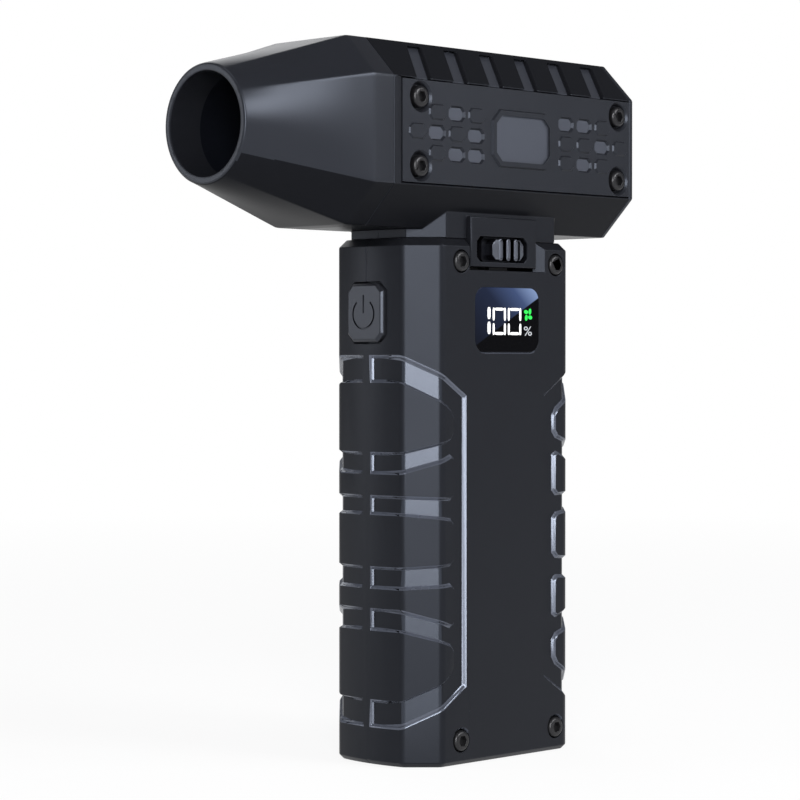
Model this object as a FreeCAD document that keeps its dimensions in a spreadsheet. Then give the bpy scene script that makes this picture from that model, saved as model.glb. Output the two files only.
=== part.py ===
import FreeCAD
import Part
import Sketcher
import math
import os

# Handheld car dryer blower. Millimetres, +Z up, air outlet towards -X, operator's left is -Y.
# The origin is the centre of the handle's base. Head pieces are drawn about the barrel's axis
# and placed at its height.

Vector = FreeCAD.Vector
Rotation = FreeCAD.Rotation

SIZES = {
    # handle case
    "handle_height": 135.5,
    "shell_wall": 2.4,
    "crown_rise": 1.35,
    "grip_side": 18.9,
    "grip_cut": 7.6,
    "end_round": 3.6,
    "side_round": 3.0,
    "top_bevel": 2.0,
    "foot_bevel": 1.2,
    "part_gap": 0.3,
    "fit_gap": 0.05,
    "running_gap": 0.04,
    # moulded grip relief
    "relief_depth": 0.9,
    "relief_low": 10.1,
    "relief_high": 105.1,
    "relief_slope": 0.64,
    "relief_inset": 8.4,
    "seam_rib": 1.4,
    "pad_inset": 4.5,
    "pad_corner": 1.2,
    # battery
    "cell_diameter": 18.4,
    "cell_length": 65.0,
    "cell_gap": 0.6,
    "cell_slack": 0.85,
    "shelf_height": 9.4,
    "shelf_thickness": 1.6,
    "foam_thickness": 1.0,
    "strip_thickness": 0.3,
    "strip_width": 8.0,
    "holder_height": 6.0,
    "lead_radius": 1.1,
    # board and what stands on it
    "board_thickness": 1.6,
    "switch_clearance": 0.45,
    "board_lift": 3.6,
    "board_drop": 11.5,
    "socket_length": 17.0,
    "socket_width": 7.6,
    "socket_height": 6.9,
    "post_radius": 2.6,
    "post_screw_radius": 1.0,
    "post_inset": 4.0,
    "post_screw_length": 6.0,
    "post_head_radius": 1.9,
    "post_head_height": 1.2,
    "capacitor_radius": 4.0,
    "capacitor_length": 12.0,
    "chip_side": 5.0,
    "chip_height": 1.2,
    "chip_pitch": 7.0,
    "chip_first": 12.5,
    # charging port
    "port_height": 8.9,
    "port_width": 3.2,
    "port_overlap": 1.9,
    "port_inset": 1.2,
    "port_depth": 6.2,
    "port_tongue": 0.7,
    "port_wall": 0.35,
    "port_drop": 21.5,
    # case screws
    "screw_radius": 1.45,
    "head_radius": 2.7,
    "head_height": 3.0,
    "head_gap": 0.3,
    "hex_across": 2.5,
    "hex_depth": 1.3,
    "boss_radius": 3.3,
    "screw_front": 16.9,
    "screw_rear": 19.7,
    "screw_drop": 5.9,
    "screw_rise": 6.3,
    "screw_length": 24.5,
    # display
    "lens_length": 24.5,
    "lens_height": 16.7,
    "lens_corner": 3.3,
    "lens_thickness": 1.5,
    "lens_ledge": 1.0,
    "lens_forward": 0.6,
    "lens_drop": 20.75,
    "display_margin": 0.7,
    "display_thickness": 1.4,
    # power button
    "button_width": 13.0,
    "button_height": 15.2,
    "button_cut": 2.1,
    "button_drop": 19.1,
    "button_proud": 0.7,
    "button_lip": 1.0,
    "button_travel": 0.6,
    "switch_side": 6.0,
    "switch_depth": 3.4,
    "plunger_radius": 1.6,
    # lock slide, tongue and notch
    "notch_front": 13.7,
    "notch_rear": 12.3,
    "notch_slant": 3.35,
    "notch_depth": 8.0,
    "tongue_gap": 0.4,
    "tongue_foot_gap": 0.9,
    "tongue_top": 5.8,
    "tongue_thickness": 2.7,
    "slot_length": 19.3,
    "slot_height": 6.5,
    "slot_cut": 1.3,
    "slot_forward": 1.3,
    "slot_drop": 2.5,
    "knob_length": 12.1,
    "knob_travel": 5.5,
    "knob_rib": 0.4,
    "rib_pitch": 2.95,
    "knob_recess": 0.5,
    "carriage_thickness": 1.4,
    "carriage_lip": 0.5,
    "carriage_reach": 1.6,
    "hook_length": 7.0,
    "hook_thickness": 1.2,
    "keeper_height": 1.1,
    # neck
    "neck_rise": 2.4,
    "neck_half_length": 28.3,
    "neck_side": 17.3,
    "neck_cut": 7.4,
    "neck_floor": 3.0,
    "spigot_half_length": 12.5,
    "spigot_half_width": 9.0,
    "spigot_depth": 3.6,
    "spigot_wall": 2.2,
    "spigot_ledge": 1.2,
    "plug_half_length": 8.0,
    "plug_half_width": 3.6,
    "plug_rim": 2.0,
    "plug_flange": 1.5,
    "wire_radius": 0.8,
    "wire_pitch": 3.2,
    # barrel
    "barrel_front": 45.6,
    "barrel_rear": 45.3,
    "barrel_wall": 2.2,
    "barrel_cut": 10.1,
    "height_extra": 0.56,
    "side_wall": 1.6,
    "plate_thickness": 1.6,
    "plate_edge": 0.4,
    "plate_front": 42.9,
    "vent_count": 6,
    "vent_depth": 1.0,
    "vent_width": 4.9,
    "vent_pitch": 13.39,
    "vent_slant": 5.7,
    "vent_first": 31.9,
    "vent_inset": 1.2,
    # side plate pattern
    "cell_pad_length": 6.2,
    "cell_pad_height": 4.0,
    "cell_pad_cut": 1.2,
    "cell_pad_rise": 0.4,
    "cell_pocket_depth": 0.6,
    "cell_pitch_front": 7.2,
    "cell_pitch_rear": 7.35,
    "cell_pitch_z": 5.15,
    "cells_front": 37.4,
    "cells_rear": 19.1,
    "badge_front": 10.2,
    "badge_rear": 13.4,
    "badge_half_height": 7.5,
    "badge_cut": 3.0,
    "badge_rise": 0.6,
    "badge_rim": 1.2,
    "plate_screw_front": 36.1,
    "plate_screw_rear": 40.6,
    "plate_screw_height": 8.65,
    "plate_screw_length": 4.3,
    "plate_screw_seat": 0.9,
    "plate_boss_height": 3.0,
    "plate_boss_radius": 3.2,
    "recess_radius": 3.8,
    # nose
    "nose_straight": 6.8,
    "nose_taper": 35.4,
    "outlet_radius": 12.8,
    "rim_wall": 1.95,
    "rim_bevel": 0.5,
    "outlet_length": 9.8,
    "nose_land": 2.0,
    "nose_spigot": 4.6,
    "nose_spigot_wall": 1.4,
    # fan, from the intake forwards
    "impeller_radius": 16.0,
    "tip_gap": 0.3,
    "duct_wall": 1.0,
    "damper_thickness": 2.4,
    "damper_width": 4.0,
    "damper_inset": 4.0,
    "rib_width": 2.6,
    "duct_gap": 0.3,
    "duct_front": 14.0,
    "liner_rib_inset": 8.0,
    "cover_thickness": 2.2,
    "cover_dome": 0.9,
    "cover_spigot": 9.0,
    "cover_screw_offset": 15.5,
    "cover_screw_radius": 1.2,
    "cover_head_radius": 2.1,
    "cover_screw_length": 9.0,
    "cover_head_height": 1.6,
    "cover_boss_radius": 2.8,
    "grille_hub": 5.0,
    "grille_bar": 1.2,
    "grille_rings": 4,
    "grille_spokes": 12,
    "mesh_thickness": 0.4,
    "mesh_bar": 0.5,
    "mesh_pitch": 4.6,
    "impeller_front": 12.0,
    "impeller_length": 14.0,
    "impeller_eye": 5.5,
    "blade_count": 11,
    "blade_thickness": 0.9,
    "nut_length": 3.4,
    "nut_radius": 3.2,
    "hub_front": 9.0,
    "hub_rear": 11.0,
    "hub_wall": 1.0,
    "stator_radius": 8.0,
    "core_ring": 1.4,
    "core_front": 3.0,
    "core_rear": 6.0,
    "tooth_count": 6,
    "tooth_width": 2.0,
    "coil_width": 3.3,
    "coil_end": 1.2,
    "magnet_radius": 4.2,
    "air_gap": 0.5,
    "shaft_radius": 1.5,
    "bearing_radius": 3.5,
    "bearing_width": 3.0,
    "vane_count": 9,
    "vane_thickness": 1.0,
    "vane_slant": 2.4,
    "blade_slant": 7.0,
    "tail_length": 16.0,
    "tail_tip": 1.6,
}

# Grip pads from the top down: top and bottom at the front edge, then at the pad's end.
PADS = [
    (98.8, 80.2, 90.6, 84.3),
    (75.3, 69.1, 80.1, 68.5),
    (64.8, 50.8, 63.2, 51.9),
    (45.8, 40.0, 46.7, 35.5),
    (35.0, 16.5, 30.7, 24.0),
]
for number, levels in enumerate(PADS, start=1):
    for corner, level in zip(("top", "foot", "end_top", "end_foot"), levels):
        SIZES[f"pad{number}_{corner}"] = level

# How far the rounding of an end edge reaches back along the end and along the chamfer, as a
# share of its radius. The crowned end meets the chamfer at less than 45 degrees.
END_SHARE = 0.208
END_REACH = 0.376

# Cells of the side plate, by column and row from the top front: raised or sunk.
FRONT_RAISED = [(1, 0), (3, 0), (0, 1), (2, 1), (1, 2)]
FRONT_SUNK = [(2, 0), (1, 1), (3, 1), (2, 2), (3, 2)]
REAR_RAISED = [(2, 0), (0, 1), (1, 1), (3, 1), (0, 2), (2, 2)]
REAR_SUNK = [(0, 0), (1, 0), (2, 1), (1, 2)]


class Dim:
    # A size that keeps its expression for the sheet beside its value for the first drawing.
    def __init__(self, text, value):
        self.text = text
        self.value = value

    def __add__(self, other):
        return Dim(f"({self.text} + {dim(other).text})", self.value + dim(other).value)

    def __sub__(self, other):
        return Dim(f"({self.text} - {dim(other).text})", self.value - dim(other).value)

    def __mul__(self, other):
        return Dim(f"({self.text} * {dim(other).text})", self.value * dim(other).value)

    def __truediv__(self, other):
        return Dim(f"({self.text} / {dim(other).text})", self.value / dim(other).value)

    def __radd__(self, other):
        return dim(other) + self

    def __rsub__(self, other):
        return dim(other) - self

    def __rmul__(self, other):
        return dim(other) * self

    def __neg__(self):
        return dim(0) - self


def dim(number):
    return number if isinstance(number, Dim) else Dim(f"({float(number)})", float(number))


def root(square):
    return Dim(f"sqrt({square.text})", math.sqrt(square.value))


class Sizes:
    # One attribute for each cell of the sheet.
    def __init__(self, cells):
        for name, value in cells.items():
            setattr(self, name, Dim(f"Sizes.{name}", float(value)))


doc = FreeCAD.newDocument("CarDryerBlower")
sheet = doc.addObject("Spreadsheet::Sheet", "Sizes")
for row, (name, value) in enumerate(SIZES.items(), start=1):
    sheet.set(f"A{row}", name)
    sheet.set(f"B{row}", str(value))
    sheet.setAlias(f"B{row}", name)
doc.recompute()

s = Sizes(SIZES)
nodes = {}

UPRIGHT = {"XY": Rotation(), "XZ": Rotation(Vector(1, 0, 0), 90), "YZ": Rotation(0.5, 0.5, 0.5, 0.5)}
ALONG = {"X": Rotation(Vector(0, 1, 0), 90), "Y": Rotation(Vector(1, 0, 0), -90), "Z": Rotation()}
NORMAL = {"XY": Vector(0, 0, 1), "XZ": Vector(0, 1, 0), "YZ": Vector(1, 0, 0)}
LIFT = {"XY": "z", "XZ": "y", "YZ": "x"}


# General helpers


def bind(thing, path, size):
    thing.setExpression(path, dim(size).text)


def place(thing, x=0, y=0, z=0):
    for axis, size in zip("xyz", (x, y, z)):
        bind(thing, f"Placement.Base.{axis}", size)
    return thing


def keep(label, thing):
    # Takes a finished shape as a sub-part, under the name of its node.
    thing.Label = label
    nodes[label] = thing


def pin(sketch, geometry, point, x, y):
    for kind, size in (("DistanceX", dim(x)), ("DistanceY", dim(y))):
        index = sketch.addConstraint(Sketcher.Constraint(kind, -1, 1, geometry, point, size.value))
        bind(sketch, f"Constraints[{index}]", size)


def edge_between(start, end, radius):
    a = Vector(dim(start[0]).value, dim(start[1]).value, 0)
    b = Vector(dim(end[0]).value, dim(end[1]).value, 0)
    if radius is None:
        return Part.LineSegment(a, b)
    across = b - a
    inward = Vector(-across.y, across.x, 0).normalize()
    centre = (a + b) * 0.5 + inward * math.sqrt(radius.value ** 2 - (across.Length / 2) ** 2)
    circle = Part.Circle(centre, Vector(0, 0, 1), radius.value)
    return Part.ArcOfCircle(circle, circle.parameter(a), circle.parameter(b))


def draw(sketch, outline):
    # A closed outline of (x, y) corners, counterclockwise; a third item is the radius of an
    # arc that bulges outwards on the way to the next corner. ("circle", x, y, radius) is a circle.
    first = sketch.GeometryCount
    if outline[0] == "circle":
        x, y, radius = (dim(item) for item in outline[1:])
        sketch.addGeometry(Part.Circle(Vector(x.value, y.value, 0), Vector(0, 0, 1), radius.value), False)
        pin(sketch, first, 3, x, y)
        index = sketch.addConstraint(Sketcher.Constraint("Radius", first, radius.value))
        bind(sketch, f"Constraints[{index}]", radius)
        return
    count = len(outline)
    radii = [corner[2] if len(corner) == 3 else None for corner in outline]
    following = outline[1:] + outline[:1]
    sketch.addGeometry([edge_between(a, b, r) for a, b, r in zip(outline, following, radii)], False)
    sketch.addConstraint([
        Sketcher.Constraint("Coincident", first + i, 2, first + (i + 1) % count, 1) for i in range(count)
    ])
    for i, corner in enumerate(outline):
        pin(sketch, first + i, 1, corner[0], corner[1])
        if radii[i] is not None:
            index = sketch.addConstraint(Sketcher.Constraint("Radius", first + i, radii[i].value))
            bind(sketch, f"Constraints[{index}]", radii[i])


def sketch_on(plane, outlines, level=0):
    sketch = doc.addObject("Sketcher::SketchObject", "Outline")
    sketch.Placement = FreeCAD.Placement(Vector(), UPRIGHT[plane])
    bind(sketch, f"Placement.Base.{LIFT[plane]}", level)
    for outline in outlines:
        draw(sketch, outline)
    return sketch


def prism(plane, outlines, span):
    # Outlines on a plane of the frame, filled and drawn out over a span of its normal.
    solid = doc.addObject("Part::Extrusion", "Prism")
    solid.Base = sketch_on(plane, outlines, span[0])
    solid.DirMode = "Custom"
    solid.Dir = NORMAL[plane]
    solid.Solid = True
    solid.FaceMakerClass = "Part::FaceMakerBullseye"
    bind(solid, "LengthFwd", span[1] - span[0])
    return solid


def turned(outlines):
    # Outlines of (x, radius) turned about the X axis.
    solid = doc.addObject("Part::Revolution", "Turned")
    solid.Source = sketch_on("XZ", outlines)
    solid.Axis = Vector(1, 0, 0)
    solid.Base = Vector(0, 0, 0)
    solid.Angle = 360
    solid.Solid = True
    solid.FaceMakerClass = "Part::FaceMakerBullseye"
    return solid


def slab(x, y, z):
    solid = doc.addObject("Part::Box", "Slab")
    for side, span in zip(("Length", "Width", "Height"), (x, y, z)):
        bind(solid, side, span[1] - span[0])
    return place(solid, x[0], y[0], z[0])


def spot(axis, at, start):
    # The frame position of a place given across an axis and its start along it.
    a, b = at
    return {"X": (start, a, b), "Y": (a, start, b), "Z": (a, b, start)}[axis]


def rod(axis, at, radius, span):
    solid = doc.addObject("Part::Cylinder", "Rod")
    solid.Placement = FreeCAD.Placement(Vector(), ALONG[axis])
    bind(solid, "Radius", radius)
    bind(solid, "Height", span[1] - span[0])
    return place(solid, *spot(axis, at, span[0]))


def funnel(axis, at, radii, span):
    solid = doc.addObject("Part::Cone", "Funnel")
    solid.Placement = FreeCAD.Placement(Vector(), ALONG[axis])
    bind(solid, "Radius1", radii[0])
    bind(solid, "Radius2", radii[1])
    bind(solid, "Height", span[1] - span[0])
    return place(solid, *spot(axis, at, span[0]))


def fused(*things):
    whole = doc.addObject("Part::MultiFuse", "Fused")
    whole.Shapes = list(things)
    return whole


def shared(*things):
    whole = doc.addObject("Part::MultiCommon", "Shared")
    whole.Shapes = list(things)
    return whole


def cut(base, *tools):
    result = doc.addObject("Part::Cut", "Cut")
    result.Base = base
    result.Tool = tools[0] if len(tools) == 1 else fused(*tools)
    return result


def grouped(things):
    whole = doc.addObject("Part::Compound", "Group")
    whole.Links = list(things)
    return whole


def mirrored(thing):
    # The same shape on the other side of the plane Y = 0.
    twin = doc.addObject("Part::Mirroring", "Twin")
    twin.Source = thing
    twin.Normal = Vector(0, 1, 0)
    return twin


def octagon(half_a, half_b, corner, front_radius=None):
    # Corners counterclockwise from the low edge; the two edges across the first axis may bulge.
    a, b = half_a, half_b
    rear = (a, corner - b) if front_radius is None else (a, corner - b, front_radius)
    front = (-a, b - corner) if front_radius is None else (-a, b - corner, front_radius)
    return [
        (corner - a, -b), (a - corner, -b), rear, (a, b - corner),
        (a - corner, b), (corner - a, b), front, (-a, corner - b),
    ]


def inner_cut(corner, wall_a, wall_b, wall_corner):
    # The corner cut of an octagon moved inwards by its walls.
    return corner - wall_a - wall_b + wall_corner * math.sqrt(2)


def moved(outline, x, y):
    return [(corner[0] + x, corner[1] + y, *corner[2:]) for corner in outline]


def clipped(low, high, corner):
    # A rectangle between two corners with its own corners cut at 45 degrees.
    (x0, y0), (x1, y1) = low, high
    return [
        (x0 + corner, y0), (x1 - corner, y0), (x1, y0 + corner), (x1, y1 - corner),
        (x1 - corner, y1), (x0 + corner, y1), (x0, y1 - corner), (x0, y0 + corner),
    ]


def rounded(low, high, corner):
    # The same with round corners: an arc follows every second point.
    points = clipped(low, high, corner)
    return [(*point, dim(corner)) if number % 2 else point for number, point in enumerate(points)]


def cap_screw(x, z, head_top, shank_length):
    # A socket head screw along +Y whose head starts at head_top.
    under = head_top + s.head_height
    top = rod("Y", (x, z), s.head_radius, (head_top, under))
    shank = rod("Y", (x, z), s.screw_radius, (under, under + shank_length))
    reach = s.hex_across / 2
    slope = s.hex_across / math.sqrt(3)
    corners = [
        (x - slope, z), (x - slope / 2, z - reach), (x + slope / 2, z - reach),
        (x + slope, z), (x + slope / 2, z + reach), (x - slope / 2, z + reach),
    ]
    socket = prism("XZ", [corners], (head_top, head_top + s.hex_depth))
    return cut(fused(top, shank), socket)


# Helpers for pieces built as bodies


def new_body(label):
    body = doc.addObject("PartDesign::Body", label)
    body.Label = label
    return body


def body_sketch(body, plane, outlines, level=0):
    sketch = body.newObject("Sketcher::SketchObject", "Profile")
    datum = next(item for item in body.Origin.OriginFeatures if item.Role == f"{plane}_Plane")
    sketch.AttachmentSupport = (datum, [""])
    sketch.MapMode = "FlatFace"
    bind(sketch, "AttachmentOffset.Base.z", -dim(level) if plane == "XZ" else level)
    for outline in outlines:
        draw(sketch, outline)
    return sketch


def pad(body, plane, outlines, span):
    feature = body.newObject("PartDesign::Pad", "Pad")
    feature.Profile = body_sketch(body, plane, outlines, span[1] if plane == "XZ" else span[0])
    bind(feature, "Length", span[1] - span[0])
    return feature


def pocket(body, plane, outlines, span):
    feature = body.newObject("PartDesign::Pocket", "Pocket")
    feature.Profile = body_sketch(body, plane, outlines, span[0] if plane == "XZ" else span[1])
    bind(feature, "Length", span[1] - span[0])
    return feature


def spin(body, kind, outlines):
    # A Revolution or Groove of outlines of (x, radius) about the X axis.
    feature = body.newObject(f"PartDesign::{kind}", kind)
    feature.Profile = body_sketch(body, "XZ", outlines)
    feature.ReferenceAxis = (feature.Profile[0], ["H_Axis"])
    feature.Angle = 360
    return feature


def repeated(body, features, count):
    # Copies of features spread evenly about the X axis.
    pattern = body.newObject("PartDesign::PolarPattern", "Ring")
    pattern.Originals = features
    pattern.Axis = (next(item for item in body.Origin.OriginFeatures if item.Role == "X_Axis"), [""])
    pattern.Angle = 360
    bind(pattern, "Occurrences", count)
    body.Tip = pattern
    return pattern


def bevel(body, size, axis, level):
    # Bevels the edges that lie at one level of an axis.
    doc.recompute()
    feature = body.newObject("PartDesign::Chamfer", "Bevel")
    base = feature.BaseFeature.Shape
    names = [
        f"Edge{i}" for i, edge in enumerate(base.Edges, start=1)
        if all(abs(getattr(vertex, axis) - level.value) < s.fit_gap.value for vertex in edge.Vertexes)
    ]
    feature.Base = (feature.BaseFeature, names)
    bind(feature, "Size", size)
    doc.recompute()
    return feature


# Handle: sizes worked out from what it holds

grip_front = s.cell_diameter * 1.5 + s.cell_gap + s.cell_slack + s.shell_wall
grip_end = grip_front + s.crown_rise
face_half = s.grip_side - s.grip_cut
crown_radius = (face_half * face_half + s.crown_rise * s.crown_rise) / (s.crown_rise * 2)
side_end = grip_front - s.grip_cut
inside_x = grip_front - s.shell_wall
inside_y = s.grip_side - s.shell_wall
ceiling = s.handle_height - s.shell_wall


def handle_outline(inset):
    # The grip's octagon with crowned ends, all moved inwards.
    corner = inner_cut(s.grip_cut, inset, inset, inset)
    return octagon(grip_front - inset, s.grip_side - inset, corner, crown_radius - inset)


def rounded_outline(inset):
    # The same with its eight upright edges rounded, for the faces that show.
    x = grip_front - inset
    y = s.grip_side - inset
    corner = inner_cut(s.grip_cut, inset, inset, inset)
    end_radius = s.end_round - inset
    side_radius = s.side_round - inset
    end_back = end_radius * END_SHARE
    end_along = end_radius * END_REACH * math.sqrt(0.5)
    side_back = side_radius * math.tan(math.pi / 8)
    side_along = side_back * math.sqrt(0.5)
    quarter = [
        (x - corner - side_back, y), (x - corner + side_along, y - side_along),
        (x - end_along, y - corner + end_along), (x, y - corner - end_back),
    ]
    outline = [
        (quarter[3][0], quarter[3][1], end_radius), quarter[2],
        (quarter[1][0], quarter[1][1], side_radius), quarter[0],
        (-quarter[0][0], y, side_radius), (-quarter[1][0], quarter[1][1]),
        (-quarter[2][0], quarter[2][1], end_radius), (-x, quarter[3][1], crown_radius - inset),
        (-x, -quarter[3][1], end_radius), (-quarter[2][0], -quarter[2][1]),
        (-quarter[1][0], -quarter[1][1], side_radius), (-quarter[0][0], -y),
        (quarter[0][0], -y, side_radius), (quarter[1][0], -quarter[1][1]),
        (quarter[2][0], -quarter[2][1], end_radius), (x, -quarter[3][1], crown_radius - inset),
    ]
    return outline


shelf_low = s.shelf_height
battery_low = shelf_low + s.shelf_thickness
strip_low = battery_low + s.foam_thickness
cell_low = strip_low + s.strip_thickness
cell_high = cell_low + s.cell_length
strip_high = cell_high + s.strip_thickness
battery_high = strip_high + s.foam_thickness
lip_front = s.part_gap - inside_x - s.crown_rise + (
    (s.button_width / 2 + s.button_lip) * (s.button_width / 2 + s.button_lip)
    / ((crown_radius - s.shell_wall) * 2)
)
lip_rear = lip_front + s.button_lip
switch_front = lip_rear + s.button_travel + s.switch_clearance
board_half = -(switch_front + s.switch_depth)
board_low = battery_high + s.shelf_thickness + s.board_lift
board_high = s.handle_height - s.board_drop
board_rear_face = -s.port_width / 2
board_span_y = (board_rear_face - s.board_thickness, board_rear_face)
cell_pitch = s.cell_diameter + s.cell_gap
screw_high = s.handle_height - s.screw_drop
case_screws = [(-s.screw_front, screw_high), (s.screw_rear, screw_high),
               (-s.screw_front, s.screw_rise), (s.screw_rear, s.screw_rise)]
port_middle = s.handle_height - s.port_drop
button_middle = s.handle_height - s.button_drop
lens_middle = s.handle_height - s.lens_drop
seat = s.handle_height


# Handle: outer block with its bevels

block = new_body("handle_block")
pad(block, "XY", [rounded_outline(0)], (dim(0), s.handle_height))
bevel(block, s.top_bevel, "Z", s.handle_height)
bevel(block, s.foot_bevel, "Z", dim(0))

# Handle: three chambers, the way through for the neck and the relief of the grip

chambers = [
    prism("XY", [handle_outline(s.shell_wall)], span) for span in (
        (s.shell_wall, shelf_low), (battery_low, battery_high), (battery_high + s.shelf_thickness, ceiling)
    )
]
spigot_way = prism("XY", [octagon(
    s.spigot_half_length + s.part_gap, s.spigot_half_width + s.part_gap, s.spigot_wall
)], (ceiling - s.fit_gap, s.handle_height + s.fit_gap))
board_middle = board_rear_face - s.board_thickness / 2
lead_spots = [(-cell_pitch, board_middle), (cell_pitch, board_middle)]
lead_ways = [
    rod("Z", at, s.lead_radius + s.part_gap, (strip_high, battery_high + s.shelf_thickness + s.fit_gap))
    for at in lead_spots
]

reach_x = grip_end + s.top_bevel
end_x = side_end - s.relief_inset
pad_end_x = side_end - s.pad_inset


def pad_outline(number, side):
    top, foot, end_top, end_foot = (
        getattr(s, f"pad{number}_{corner}") for corner in ("top", "foot", "end_top", "end_foot")
    )
    corner = s.pad_corner
    slope_top = (end_top - top) / (grip_front - pad_end_x)
    slope_foot = (end_foot - foot) / (grip_front - pad_end_x)
    outline = [
        (-pad_end_x - corner, end_foot - slope_foot * corner), (-pad_end_x, end_foot + corner),
        (-pad_end_x, end_top - corner), (-pad_end_x - corner, end_top - slope_top * corner),
        (-grip_front, top), (-reach_x, top), (-reach_x, foot), (-grip_front, foot),
    ]
    return outline if side < 0 else [(-x, z) for x, z in reversed(outline)]


def relief_outline(side):
    fall = s.relief_slope * (grip_front - end_x)
    outline = [
        (-end_x, s.relief_low + fall), (-end_x, s.relief_high - fall), (-grip_front, s.relief_high),
        (-reach_x, s.relief_high), (-reach_x, s.relief_low), (-grip_front, s.relief_low),
    ]
    return outline if side < 0 else [(-x, z) for x, z in reversed(outline)]


def relief_tool():
    # Channels of one depth that run round the grip between the pads and stop at the seam.
    reach_y = s.grip_side + s.top_bevel
    fields = [
        prism("XZ", [relief_outline(side)] + [pad_outline(n, side) for n in range(1, len(PADS) + 1)],
              (-reach_y, reach_y)) for side in (-1, 1)
    ]
    band_span = (s.relief_low / 2, s.relief_high + s.relief_low)
    band = prism("XY", [octagon(reach_x, reach_y, s.grip_cut), rounded_outline(s.relief_depth)], band_span)
    rib = slab((-reach_x, reach_x), (-s.seam_rib, s.seam_rib), band_span)
    return cut(shared(fused(*fields), band), rib)


relief = relief_tool()

# Handle: openings for the button and the charging port, cut half from each shell

button_hole = prism("YZ", [moved(octagon(
    s.button_width / 2 + s.part_gap, s.button_height / 2 + s.part_gap, s.button_cut
), 0, button_middle)], (-grip_end - s.button_proud, -inside_x + s.crown_rise))
port_hole = slab(
    (inside_x - s.crown_rise, grip_end + s.button_proud),
    (-s.port_width / 2 - s.part_gap, s.port_width / 2 + s.part_gap),
    (port_middle - s.port_height / 2 - s.part_gap, port_middle + s.port_height / 2 + s.part_gap),
)
case = cut(block, *chambers, spigot_way, *lead_ways)

half_span_z = (-s.foot_bevel, seat + s.top_bevel)
left_half = slab((-reach_x, reach_x), (-s.grip_side - s.top_bevel, dim(0)), half_span_z)
right_half = slab((-reach_x, reach_x), (dim(0), s.grip_side + s.top_bevel), half_span_z)

# Left shell: screw bosses, display window, notch for the tongue and its keeper

left_bosses = [rod("Y", at, s.boss_radius, (-inside_y - s.fit_gap, dim(0))) for at in case_screws]
left_wells = [
    rod("Y", at, s.head_radius + s.head_gap, (-s.grip_side - s.top_bevel, -inside_y)) for at in case_screws
]
left_bores = [
    rod("Y", at, s.screw_radius + s.part_gap / 2, (-s.grip_side, s.part_gap)) for at in case_screws
]


def lens_outline(inset):
    # The lens with its round corners, moved inwards.
    half_x = s.lens_length / 2 - inset
    half_z = s.lens_height / 2 - inset
    return moved(
        rounded((-half_x, -half_z), (half_x, half_z), s.lens_corner - inset), s.lens_forward, lens_middle
    )


lens_hole = prism(
    "XZ", [lens_outline(-s.fit_gap)], (-s.grip_side - s.top_bevel, s.lens_thickness - s.grip_side)
)
lens_window = prism("XZ", [lens_outline(s.lens_ledge)], (-s.grip_side, s.fit_gap - inside_y))
notch_low = seat - s.notch_depth
notch_back = -inside_y + s.carriage_thickness + s.hook_thickness + s.part_gap * 3
notch_top = seat + s.top_bevel
notch_span_z = (notch_low, notch_top)
notch = slab((-s.notch_front, s.notch_rear), (-s.grip_side - s.top_bevel, notch_back), notch_span_z)
notch_bevel = prism("XY", [[
    (s.notch_rear - s.fit_gap, -s.grip_side - s.fit_gap),
    (s.notch_rear + s.notch_slant, -s.grip_side - s.fit_gap),
    (s.notch_rear - s.fit_gap, -s.grip_side + s.notch_slant),
]], notch_span_z)
knob_rest = -s.slot_forward + s.knob_travel / 2
hook_middle = knob_rest + s.part_gap
keeper_front = hook_middle + s.hook_length / 2 - s.knob_travel + s.part_gap
keeper = slab(
    (keeper_front, keeper_front + s.knob_travel + s.keeper_height),
    (-inside_y - s.fit_gap, s.carriage_thickness - inside_y), (notch_low - s.keeper_height, notch_low),
)
left_case = cut(
    fused(shared(case, left_half), *left_bosses), *left_wells, *left_bores,
    lens_hole, lens_window, notch, notch_bevel, button_hole, port_hole
)
keep("handle_shell_left", cut(fused(left_case, keeper), relief))

# Right shell: bosses that take the screws, posts that carry the board

screw_seat = -inside_y + s.screw_length
right_bosses = [rod("Y", at, s.boss_radius, (dim(0), inside_y + s.fit_gap)) for at in case_screws]
right_pilots = [
    rod("Y", at, s.screw_radius + s.fit_gap / 2, (-s.part_gap, screw_seat + s.part_gap))
    for at in case_screws
]
board_posts = [
    (x, z) for x in (s.post_inset - board_half, board_half - s.post_inset)
    for z in (board_low + s.post_inset, board_high - s.post_inset)
]
posts = [rod("Y", at, s.post_radius, (board_rear_face, inside_y + s.fit_gap)) for at in board_posts]
post_pilots = [
    rod("Y", at, s.post_screw_radius + s.fit_gap / 2, (
        board_rear_face - s.part_gap, board_rear_face + s.post_screw_length
    )) for at in board_posts
]
right_case = cut(
    fused(shared(case, right_half), *right_bosses, *posts),
    *right_pilots, *post_pilots, button_hole, port_hole
)
keep("handle_shell_right", cut(right_case, relief))

keep("handle_screws", grouped([
    cap_screw(x, z, -inside_y - s.head_height, s.screw_length) for x, z in case_screws
]))

# Battery: three cells in a row between spacers, link strips and foam

inside_outline = handle_outline(s.shell_wall + s.part_gap)
cell_places = {"front": -cell_pitch, "middle": dim(0), "rear": cell_pitch}
for where, x in cell_places.items():
    keep(f"battery_cell_{where}", rod("Z", (x, 0), s.cell_diameter / 2, (cell_low, cell_high)))
cell_holes = [("circle", x, 0, s.cell_diameter / 2 + s.fit_gap) for x in cell_places.values()]
for where, span in {
    "lower": (cell_low, cell_low + s.holder_height), "upper": (cell_high - s.holder_height, cell_high)
}.items():
    holder = new_body(f"cell_holder_{where}")
    pad(holder, "XY", [inside_outline] + cell_holes, span)
    keep(f"cell_holder_{where}", holder)


def strips(single, linked, span):
    # A tab on one cell and a strip that links the other two.
    half = s.strip_width / 2
    return grouped([
        slab((single - half, single + half), (-half, half), span),
        slab((linked[0] - half, linked[1] + half), (-half, half), span),
    ])


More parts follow.
